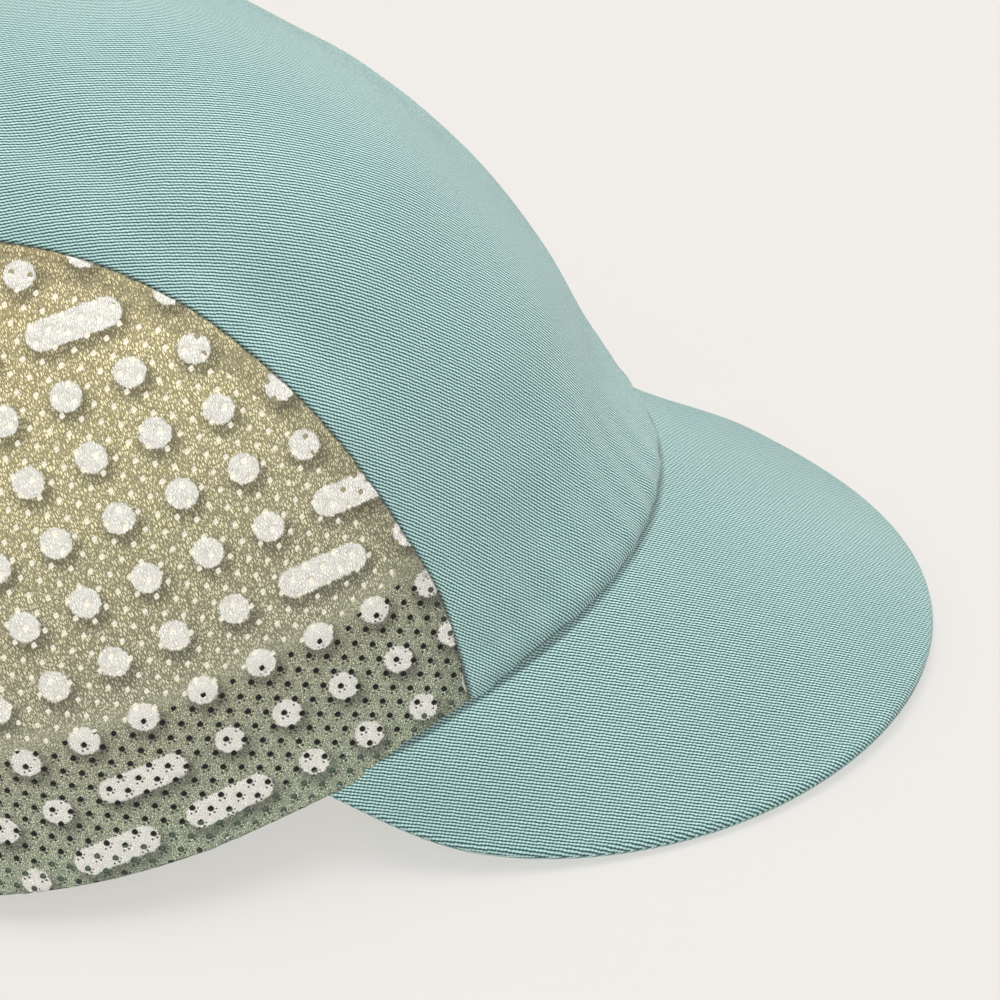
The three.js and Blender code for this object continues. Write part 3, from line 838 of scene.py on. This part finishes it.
# %% Knitted loops: width, length and turn of the two grounds, in millimetres and degrees
STITCH, STITCH_DEGREES = (0.33, 0.85), 30
PEBBLE, PEBBLE_DEGREES = (0.33, 0.42), 20
LOOP_EDGE = 0.24
LOOP_UNEVENNESS = 0.8


def knit_grain(tree, layout, size, degrees):
    """Crests of knitted loops: cells of a size in millimetres with thin lines between them."""
    turned = add_node(tree, "VectorRotate", {"Vector": layout, "Angle": np.radians(-degrees)},
                      rotation_type="Z_AXIS")
    scaled = add_node(tree, "VectorMath", {0: turned, 1: (1 / size[0], 1 / size[1], 0)},
                      operation="MULTIPLY")
    cells = add_node(tree, "TexVoronoi", {
        "Vector": scaled, "Scale": 1.0, "Randomness": LOOP_UNEVENNESS},
                     feature="DISTANCE_TO_EDGE")
    return add_node(tree, "MapRange", {"Value": cells.outputs["Distance"], "From Max": LOOP_EDGE},
                    interpolation_type="SMOOTHSTEP")


# %% Painted shade on the rim and dark stitch holes around an eyelet
# Places across and up, and radius, in millimetres: first the painted shade on the eyelet's rim,
# then the tiny stitch holes
RIM_SHADE_AND_PINHOLES = ((0.0, 0.0, 0.53), (0.62, -0.56, 0.2), (-0.12, -0.98, 0.18), (0.86, 0.1, 0.14))


def rim_shade_and_pinhole_distance(tree, layout):
    """Distance in millimetres outside the painted shade on the rim and the tiny stitch holes of
    each eyelet.
    """
    distance = None
    for start in (0.0, 0.5):
        cell = add_node(tree, "VectorMath", {
            0: layout, 1: (1 / EYELET_SPACING, 0.5 / EYELET_ROW, 0), 2: (start + 0.5,) * 3},
            operation="MULTIPLY_ADD")
        place = add_node(tree, "VectorMath", {0: cell}, operation="FRACTION")
        offset = add_node(tree, "VectorMath", {
            0: place, 1: (EYELET_SPACING, 2 * EYELET_ROW, 0),
            2: (-EYELET_SPACING / 2, -EYELET_ROW, 0)}, operation="MULTIPLY_ADD")
        for x, y, radius in RIM_SHADE_AND_PINHOLES:
            reach = add_node(tree, "VectorMath", {0: offset, 1: (x, y, 0)}, operation="DISTANCE")
            outside = add_node(tree, "Math", {0: reach.outputs["Value"], 1: radius},
                               operation="SUBTRACT")
            distance = outside if distance is None else add_node(
                tree, "Math", {0: distance, 1: outside}, operation="MINIMUM")
    return distance


# %% Knitted ground, from gold at the top to grey green at the hem
RAMP_HEIGHT = 95
GROUND_STOPS = (
    (0.0, "d2e6c4"), (0.2, "d4dcb9"), (0.4, "d5d1a5"), (0.66, "faf0b4"), (1.0, "f8e6a6"))
# Painted highlight on the crests of the loops, and painted shade in the hollows between them
LOOP_HIGHLIGHT_COLOUR, LOOP_HIGHLIGHT_SHARE = "fff9e6", 0.3
LOOP_SHADE_SHARE = 0.32
FUZZ_SCALE, FUZZ_SHARE = 3.2, 0.5
GRAIN_FROM, GRAIN_TO = 0.28, 1.29


def knitted_ground(tree, layout, rise, above_band):
    """Colour of the unprinted ground, with painted highlights on the loops' crests and painted
    shade in their hollows, and the height of its loops.
    """
    share = add_node(tree, "MapRange", {"Value": rise, "From Min": 0, "From Max": RAMP_HEIGHT})
    ground = add_node(tree, "ValToRGB", {"Fac": share})
    ramp = ground.color_ramp
    for place, colour in GROUND_STOPS[1:-1]:
        ramp.elements.new(place).color = linear(colour)
    for end in (0, -1):
        ramp.elements[end].color = linear(GROUND_STOPS[end][1])
    stitches = knit_grain(tree, layout, STITCH, STITCH_DEGREES)
    pebbles = knit_grain(tree, layout, PEBBLE, PEBBLE_DEGREES)
    loops = add_node(tree, "Mix", {0: above_band, 2: pebbles.outputs[0],
                                   3: stitches.outputs[0]}, data_type="FLOAT")
    fuzz = add_node(tree, "TexNoise", {"Vector": layout, "Scale": FUZZ_SCALE, "Detail": 3.0})
    grain = add_node(tree, "Math", {0: fuzz.outputs["Fac"], 1: FUZZ_SHARE, 2: loops},
                     operation="MULTIPLY_ADD")
    # Painted light and shade of the loops: hollows darkened, crests mixed towards a pale highlight
    loop_highlight_share = add_node(tree, "MapRange", {
        "Value": grain, "From Min": GRAIN_FROM, "From Max": GRAIN_TO})
    crest = add_node(tree, "Mix", {
        0: LOOP_HIGHLIGHT_SHARE, 6: ground.outputs["Color"], 7: linear(LOOP_HIGHLIGHT_COLOUR)}, data_type="RGBA")
    painted_loop_shade = add_node(tree, "VectorMath", {0: ground.outputs["Color"], 1: (LOOP_SHADE_SHARE,) * 3},
                      operation="MULTIPLY")
    knit = add_node(tree, "Mix", {0: loop_highlight_share.outputs[0], 6: painted_loop_shade, 7: crest.outputs[2]},
                    data_type="RGBA")
    return knit.outputs[2], grain


# %% Printed mesh
HALO_RADIUS, HALO_SHIFT, HALO_TONE = 4.4, (0.9, -1.1), 0.5
SEAM_ALLOWANCE, SEAM_TONE = 4.5, 0.8
BAND_TONE = 0.88
PRINT_WHITE = "fdfcf3"
RAGGED_SCALE, RAGGED_REACH = 1.7, 0.9
PRINT_BLUR = 0.15
RIM_SHADE_AND_HOLE_TONE = 0.1


def make_printed_mesh():
    material, tree = start_material("printed_polyester_eyelet_mesh")
    layout = add_node(tree, "UVMap", uv_map="cloth")
    rise = add_node(tree, "Attribute", attribute_name="rise").outputs["Fac"]
    below_arch = add_node(tree, "Attribute", attribute_name="below_arch").outputs["Fac"]
    above_band = add_node(tree, "MapRange", {
        "Value": rise, "From Min": BAND_HEIGHT - 2, "From Max": BAND_HEIGHT + 2})
    ground, grain = knitted_ground(tree, layout, rise, above_band.outputs[0])
    band_tone = add_node(tree, "MapRange", {
        "Value": above_band, "To Min": BAND_TONE, "To Max": 1.0})
    seam_tone = add_node(tree, "MapRange", {
        "Value": below_arch, "From Min": SEAM_ALLOWANCE - 0.5, "From Max": SEAM_ALLOWANCE + 0.5,
        "To Min": SEAM_TONE, "To Max": 1.0})
    halo = add_node(tree, "MapRange", {
        "Value": print_distance(tree, layout, HALO_SHIFT), "From Min": DOT_RADIUS * 0.8,
        "From Max": HALO_RADIUS, "To Min": HALO_TONE, "To Max": 1.0},
        interpolation_type="SMOOTHSTEP")
    tone = halo
    for part in (band_tone, seam_tone):
        tone = add_node(tree, "Math", {0: tone, 1: part.outputs[0]}, operation="MULTIPLY")
    ground_toned = add_node(tree, "VectorMath", {0: ground, 1: tone}, operation="MULTIPLY")
    # The print's white gets the same painted light and shade of the loops
    white_loop_light_and_shade = add_node(tree, "MapRange", {
        "Value": grain, "From Min": 0.3, "From Max": 1.35, "To Min": 0.82, "To Max": 1.06})
    white = add_node(tree, "VectorMath", {
        0: linear(PRINT_WHITE)[:3], 1: white_loop_light_and_shade.outputs[0]}, operation="MULTIPLY")
    rough_edge = add_node(tree, "TexNoise", {
        "Vector": layout, "Scale": RAGGED_SCALE, "Detail": 2.0})
    ragged = add_node(tree, "VectorMath", {0: rough_edge.outputs["Color"], 1: (0.5, 0.5, 0.5)},
                      operation="SUBTRACT")
    frayed = add_node(tree, "VectorMath", {
        0: ragged, 1: (RAGGED_REACH, RAGGED_REACH, 0), 2: layout}, operation="MULTIPLY_ADD")
    in_print = add_node(tree, "MapRange", {
        "Value": print_distance(tree, frayed), "From Min": DOT_RADIUS - PRINT_BLUR,
        "From Max": DOT_RADIUS + PRINT_BLUR, "To Min": 1.0, "To Max": 0.0})
    printed = add_node(tree, "Mix", {
        0: in_print.outputs[0], 6: ground_toned, 7: white}, data_type="RGBA")
    # Painted shade on the eyelets' rims and dark stitch holes, only where the sweatband lies
    # behind
    holes = add_node(tree, "MapRange", {
        "Value": rim_shade_and_pinhole_distance(tree, layout), "From Min": -0.06, "From Max": 0.08,
        "To Min": RIM_SHADE_AND_HOLE_TONE, "To Max": 1.0})
    no_holes = add_node(tree, "MapRange", {
        "Value": rise, "From Min": BAND_HEIGHT - 4, "From Max": BAND_HEIGHT - 2})
    holes = add_node(tree, "Math", {0: holes.outputs[0], 1: no_holes.outputs[0]},
                     operation="MAXIMUM")
    colour = add_node(tree, "VectorMath", {0: printed.outputs[2], 1: holes},
                      operation="MULTIPLY")
    bump = add_node(tree, "Bump", {"Strength": 0.8, "Distance": 0.0002, "Height": grain})
    shader = add_node(tree, "BsdfPrincipled", {
        "Base Color": colour, "Roughness": 0.62, "Normal": bump,
        "Specular IOR Level": 0.4, "Sheen Weight": 0.08, "Sheen Roughness": 0.5})
    finish_material(tree, shader)
    return material


printed_mesh = make_printed_mesh()
print("printed mesh made with", len(printed_mesh.node_tree.nodes), "nodes")

# %% Side panels, the left one a mirror image
RIM_ROLL = 0.16
EDGE_TUCK = 0.3
rim_depth = np.where(net_ring == 0, RIM_ROLL, 0.0)
edge_depth = np.where(on_edge, EDGE_TUCK, 0.0)
rise = smooth_crown(net_angle, net_up)[:, 2] - hem_height(net_angle)
below_arch = seen_from_centre(net_angle, net_up)[2]
outer = layer_place(net_angle, net_up, rim_depth + edge_depth)
inner = layer_place(net_angle, net_up, MESH_THICKNESS)
MIRROR = np.array([-1, 1, 1])
for side, hand in (("right", 1), ("left", -1)):
    mirror = MIRROR if hand < 0 else 1
    make_shell(
        f"side_panel_{side}_cloth", outer * mirror, inner * mirror, net_faces, net_layout,
        {"rise": rise, "below_arch": below_arch}, f"side_panel_{side}",
        printed_mesh)

# %% [markdown]
# ## Lining, tape and sweatband
# Behind the mesh lies a pale cotton lining, seen through the eyelets, and below it the black
# brushed sweatband, whose short fluff makes it matte. A narrow grey green tape finishes the
# hem. Along the arch the lining takes the darker colour of the seam allowances, which are no
# piece of their own.

# %% Plain cloths of the inside
def make_plain_cloth(name, light, dark, grain_mm, roughness, sheen, seam_colour=None):
    material, tree = start_material(name)
    place = add_node(tree, "UVMap", uv_map="cloth")
    grain = add_node(tree, "TexNoise", {"Vector": place, "Scale": 1 / grain_mm, "Detail": 4.0})
    threads = add_node(tree, "TexWave", {"Vector": place, "Scale": WAVE_PERIOD / (2 * grain_mm),
                                         "Distortion": 1.0}, bands_direction="Y")
    height = add_node(tree, "Math", {0: threads.outputs["Fac"], 1: grain.outputs["Fac"]})
    tone = add_node(tree, "MapRange", {"Value": height, "From Min": 0.4, "From Max": 1.5})
    colour = add_node(tree, "Mix", {0: tone.outputs[0], 6: linear(dark), 7: linear(light)},
                      data_type="RGBA")
    if seam_colour:
        below_arch = add_node(tree, "Attribute", attribute_name="below_arch").outputs["Fac"]
        clear = add_node(tree, "Math", {0: below_arch, 1: SEAM_ALLOWANCE},
                         operation="GREATER_THAN")
        colour = add_node(tree, "Mix", {0: clear, 6: linear(seam_colour), 7: colour.outputs[2]},
                          data_type="RGBA")
    bump = add_node(tree, "Bump", {"Strength": 0.5, "Distance": 0.0002, "Height": height})
    shader = add_node(tree, "BsdfPrincipled", {
        "Base Color": colour.outputs[2], "Roughness": roughness, "Normal": bump,
        "Specular IOR Level": 0.2, "Sheen Weight": sheen, "Sheen Roughness": 0.6})
    finish_material(tree, shader)
    return material


pale_lining = make_plain_cloth(
    "pale_cotton_lining", light="fffdf2", dark="efe9d6", grain_mm=0.3, roughness=0.9,
    sheen=0.1, seam_colour="a39c80")
black_band = make_plain_cloth(
    "black_brushed_fleece_band", light="222426", dark="0d0e0f", grain_mm=0.25, roughness=0.95,
    sheen=0.3)
teal_tape = make_plain_cloth(
    "teal_cotton_tape", light="66786c", dark="4a5b51", grain_mm=0.3, roughness=0.88, sheen=0.1)
print("made", pale_lining.name, black_band.name, teal_tape.name)

# %% Places at a height above the hem
def share_above_hem(angle, height):
    """The share up the crown that lies a height above the hem."""
    hem = hem_height(angle)
    low, high = np.zeros_like(angle), np.ones_like(angle)
    for _ in range(32):
        up = (low + high) / 2
        row = section_value(0, up)
        below = hem * (1 - row)**2 + CROWN_HEIGHT * row < hem + height
        low, high = np.where(below, up, low), np.where(below, high, up)
    return low


# %% Hem tape and sweatband
STRIP_COLUMNS = 360
STRIP_STEP = 1.6
STRIP_EDGE_STEPS = (0, 0.12, 0.3, 0.6, 1.0)


def make_strip(name, top, depth, thickness, node, material):
    angle = np.linspace(-np.pi, np.pi, STRIP_COLUMNS, endpoint=False)
    tall = top - STRIP_LIFT
    heights = STRIP_LIFT + tall * edge_steps(tall, STRIP_STEP, STRIP_EDGE_STEPS)
    up = np.stack([share_above_hem(angle, height) for height in heights])
    angle = np.broadcast_to(angle, up.shape)
    from_edge = np.minimum(heights - STRIP_LIFT, top - heights)[:, None]
    rolled = rolled_depth(from_edge, thickness / 2)
    flat = smooth_crown(angle, up)
    layout = np.stack([run_length(flat, 1), run_length(flat, 0)], -1)
    make_shell(
        name, layer_place(angle, up, depth + rolled),
        layer_place(angle, up, depth + thickness - rolled),
        grid_faces(*up.shape, closed=True), layout, {}, node, material)


make_strip("hem_tape_cloth", TAPE_HEIGHT, LINING_DEPTH, TAPE_THICKNESS,
           "hem_tape", teal_tape)
make_strip("sweatband_cloth", BAND_HEIGHT, BAND_DEPTH, BAND_THICKNESS,
           "sweatband", black_band)

# %% Linings behind the side panels
LINING_OVERLAP = 1.5
LINING_MARGIN = 0.4 / 90  # 0.4 mm below the seam, as an angle seen from 90 mm away
LINING_CLIMBS = 181
LINING_COLUMNS = 140
LINING_TALL, LINING_STEP = 60, 1.8
LINING_EDGE_STEPS = (0, 0.3, 0.7, 1.3)
lining_climb = np.linspace(corner_climbs[0], corner_climbs[1], LINING_CLIMBS)[1:-1]
lining_lean = np.interp(lining_climb, arch_climbs, arch_leans) + LINING_MARGIN
seam_angle, seam_up = crown_place(ray_direction(lining_climb, lining_lean))
low_up = share_above_hem(seam_angle, np.full_like(seam_angle, BAND_HEIGHT - LINING_OVERLAP))
above = seam_up > low_up + 0.01
seam_angle, seam_up, low_up = seam_angle[above], seam_up[above], low_up[above]
columns = np.linspace(seam_angle[0], seam_angle[-1], LINING_COLUMNS)
order = np.argsort(seam_angle)
high = np.interp(columns, seam_angle[order], seam_up[order])
low = share_above_hem(columns, np.full_like(columns, BAND_HEIGHT - LINING_OVERLAP))
rows = edge_steps(LINING_TALL, LINING_STEP, LINING_EDGE_STEPS)[:, None]
up = low + (high - low) * rows
angle = np.broadcast_to(columns, up.shape)
flat = smooth_crown(angle, up)
layout = np.stack([run_length(flat, 1), run_length(flat, 0)], -1)
below_arch = seen_from_centre(angle, up)[2]
outer = layer_place(angle, up, LINING_DEPTH)
inner = layer_place(angle, up, LINING_DEPTH + LINING_THICKNESS)
for side, hand in (("right", 1), ("left", -1)):
    mirror = MIRROR if hand < 0 else 1
    make_shell(
        f"side_lining_{side}_cloth", outer * mirror, inner * mirror, grid_faces(*up.shape),
        layout, {"below_arch": below_arch}, f"side_lining_{side}", pale_lining)

# %% [markdown]
# ## The peak
# A thin stiffener between two layers of twill, turned at the edge without topstitching. Its
# face slopes down and is cambered. The grid runs from inside the forehead seam to the edge,
# around the rounded edge, and back underneath. Both ends slip a little under the hem.

# %% The peak's grid, from inside the forehead seam to the edge
PEAK_COLUMNS = 150
COLUMN_CROWDING = 0.35  # how much the columns gather at both ends
SIDE_STEP = 0.01
PEAK_TUCK, PEAK_TUCK_SHARE = 1.0, 0.1
PEAK_END_TUCK, PEAK_END_SHARE = 1.3, 0.18
PEAK_ROW_LENGTH, PEAK_ROW_STEP = 60, 1.4
SEAM_ROWS_LEFT_OUT = 5  # the seam side isn't rolled and needs no close rows

columns = np.linspace(-1, 1, PEAK_COLUMNS)[:, None]
gathered = np.sin(columns * np.pi / 2)
across = gathered * COLUMN_CROWDING + columns * (1 - COLUMN_CROWDING)
at_forward, at_right = oval_point(peak_end * across)
beside_forward, beside_right = oval_point(peak_end * across + SIDE_STEP)
run_forward, run_right = beside_forward - at_forward, beside_right - at_right
run_size = np.hypot(run_forward, run_right)
from_end = 1 - np.abs(across)
tuck = GAP - PEAK_TUCK * smooth(from_end / PEAK_TUCK_SHARE)
under_hem = PEAK_END_TUCK * smooth(1 - from_end / PEAK_END_SHARE)
seam_forward = at_forward + run_right / run_size * (tuck - under_hem)
seam_right = at_right - run_forward / run_size * (tuck - under_hem)
edge_forward, edge_right = peak_edge_point(peak_edge_end * across)
edge_forward = edge_forward - run_right / run_size * under_hem
edge_right = edge_right + run_forward / run_size * under_hem
peak_rows = edge_steps(PEAK_ROW_LENGTH, PEAK_ROW_STEP)[None, SEAM_ROWS_LEFT_OUT:]
peak_rows = (peak_rows - peak_rows.min()) / (1 - peak_rows.min())
forward = seam_forward + (edge_forward + GAP - seam_forward) * peak_rows
right = seam_right + (edge_right - seam_right) * peak_rows
peak_flat = np.stack([-right, -forward, peak_height(forward, right)], -1)
from_seam = run_length(peak_flat, 1)
from_tip = from_seam[:, -1:] - from_seam
print(f"peak {2 * right.max():.0f} mm wide, {from_seam.max():.0f} mm from seam to edge")

# %% The peak's thickness, rolled edge and cloth
PEAK_EDGE_THICKNESS, EDGE_THINNING = 1.9, 14
PEAK_END_THICKNESS, END_THINNING = 1.1, 0.25
RIPPLE_HEIGHT, RIPPLE_FADE = 0.05, 8
RIPPLE_LENGTH, RIPPLE_SWAY, SWAY_LENGTH = 6.3, 0.4, 9
ROWS_BEFORE_EDGE = 12
# Where the painted shade starts along its fade, in mm: paler at the peak than on the crown
TIP_SHADE_START, SEAM_SHADE_START = 0.4, 0.15  # paler folds than the crown's

fullness = smooth(from_end / END_THINNING)
thick = PEAK_END_THICKNESS + (PEAK_THICKNESS - PEAK_END_THICKNESS) * fullness
thick = thick * (PEAK_EDGE_THICKNESS + (PEAK_THICKNESS - PEAK_EDGE_THICKNESS)
                 * smooth(from_tip / EDGE_THINNING)) / PEAK_THICKNESS
peak_rolled = rolled_depth(from_tip, thick / 2)
ripple_turn = right / RIPPLE_LENGTH + RIPPLE_SWAY * np.sin(forward / SWAY_LENGTH)
ripple = RIPPLE_HEIGHT * np.sin(ripple_turn) * smooth(from_tip / RIPPLE_FADE)
peak_top = peak_flat - [0, 0, 1] * ((peak_rolled - ripple) * peak_slant)[..., None]
peak_bottom = peak_flat - [0, 0, 1] * ((thick - peak_rolled) * peak_slant)[..., None]
peak_layout = np.stack([
    camber_radius * np.arcsin(right / camber_radius), forward * peak_slant], -1)
# The cloth's layout runs on around the rounded edge, whose quarter circle is longer than flat
radius = thick / 2
around_edge = radius * np.arccos(1 - np.minimum(from_tip, radius) / radius)
stretch = np.minimum(from_tip, radius) - around_edge + (np.pi / 2 - 1) * radius
outward = peak_layout[:, -1:] - peak_layout[:, [-ROWS_BEFORE_EDGE]]
outward /= np.linalg.norm(outward, axis=-1, keepdims=True)
peak_layout = peak_layout + outward * stretch[..., None]
# The from_edge mark gives painted shade at the folded tip, and painted shadow under the crown's
# fold at the forehead seam
from_forehead = np.maximum(from_seam - PEAK_TUCK, 0) + SEAM_SHADE_START
make_shell(
    "peak_cloth", peak_top, peak_bottom, grid_faces(*forward.shape), peak_layout,
    {"from_edge": np.minimum(from_tip + TIP_SHADE_START, from_forehead)},
    "peak", peak_twill)

# %% [markdown]
# ## Floor, light and camera
# A plain pale floor under soft light, as in a product studio. One wide light hangs overhead
# and gives the shadow, and two beside it give none. The photograph looks down on the cap from
# its right front with a long lens, slightly rolled.

# %% Floor
FLOOR_HALF = 3.0  # metres
FLOOR_COLOUR = "d2d0cf"
corners = [(-1, -1, 0), (1, -1, 0), (1, 1, 0), (-1, 1, 0)]
floor_mesh = bpy.data.meshes.new("floor")
floor_mesh.from_pydata((FLOOR_HALF * np.array(corners)).tolist(), [], [(0, 1, 2, 3)])
floor = bpy.data.objects.new("floor", floor_mesh)
bpy.context.scene.collection.objects.link(floor)
floor_material, tree = start_material("matte_studio_paper")
finish_material(tree, add_node(tree, "BsdfPrincipled", {
    "Base Color": linear(FLOOR_COLOUR), "Roughness": 1.0, "Specular IOR Level": 0.0}))
floor_mesh.materials.append(floor_material)
print(f"floor {2 * FLOOR_HALF:.0f} m square")

# %% Camera
PICTURE = 1000
AZIMUTH, ELEVATION, ROLL = np.radians([-71.275, 39.164, -5.613])
PIXELS_PER_MM = 5.712
DISTANCE = 728.684
TARGET = (68.068, 12.679)
SENSOR = 36.0
toward_eye = np.array([np.sin(AZIMUTH) * np.cos(ELEVATION),
                       -np.cos(AZIMUTH) * np.cos(ELEVATION), np.sin(ELEVATION)])
level = np.array([np.cos(AZIMUTH), np.sin(AZIMUTH), 0])
upright = np.cross(toward_eye, level)
eye_right = level * np.cos(ROLL) + upright * np.sin(ROLL)
eye_up = upright * np.cos(ROLL) - level * np.sin(ROLL)
target = eye_right * TARGET[0] + eye_up * TARGET[1] + [0, shift_back, 0]
eye = (target + toward_eye * DISTANCE) * MM
camera_data = bpy.data.cameras.new("camera")
camera_data.sensor_width = SENSOR
camera_data.lens = SENSOR * PIXELS_PER_MM * DISTANCE / PICTURE
camera = bpy.data.objects.new("camera", camera_data)
axes = Matrix([[*row] for row in np.stack([eye_right, eye_up, toward_eye], 1).tolist()]).to_4x4()
camera.matrix_world = Matrix.Translation(eye.tolist()) @ axes
bpy.context.scene.collection.objects.link(camera)
bpy.context.scene.camera = camera
print(f"lens {camera_data.lens:.1f} mm at {np.linalg.norm(eye) * 1000:.0f} mm")

# %% Light
WORLD_COLOUR, WORLD_STRENGTH = "fbfaf8", 0.4
scene = bpy.context.scene
scene.view_settings.view_transform = "Standard"
world = bpy.data.worlds.new("studio")
scene.world = world
world.use_nodes = True
background = world.node_tree.nodes["Background"]
background.inputs["Color"].default_value = linear(WORLD_COLOUR)
background.inputs["Strength"].default_value = WORLD_STRENGTH


def soft_light(name, place, aim, size, power, colour, shadow=True):
    data = bpy.data.lights.new(name, "AREA")
    data.shape = "DISK"
    data.size = size
    data.energy = power
    data.color = linear(colour)[:3]
    data.use_shadow = shadow
    light = bpy.data.objects.new(name, data)
    place, aim = np.array(place, dtype=float), np.array(aim, dtype=float)
    back = (place - aim) / np.linalg.norm(place - aim)
    side = np.cross([0, 1, 0.01], back)
    side /= np.linalg.norm(side)
    turn = Matrix([[*row] for row in np.stack([side, np.cross(back, side), back], 1).tolist()])
    light.matrix_world = Matrix.Translation(place.tolist()) @ turn.to_4x4()
    scene.collection.objects.link(light)
    print(f"{name} light: {power:.0f} W, {size:.1f} m across")


soft_light("overhead", (0.1, 0, 6.0), (0, 0, 0.05), 4.0, 76.0, "fffaf6")
soft_light("far_side", (3.8, -0.8, 3.8), (0, -0.05, 0.05), 2.5, 182.0, "fffdfa", shadow=False)
soft_light("near_side", (-3.6, -1.0, 3.8), (0, -0.05, 0.05), 2.5, 154.0, "fffdfa", shadow=False)
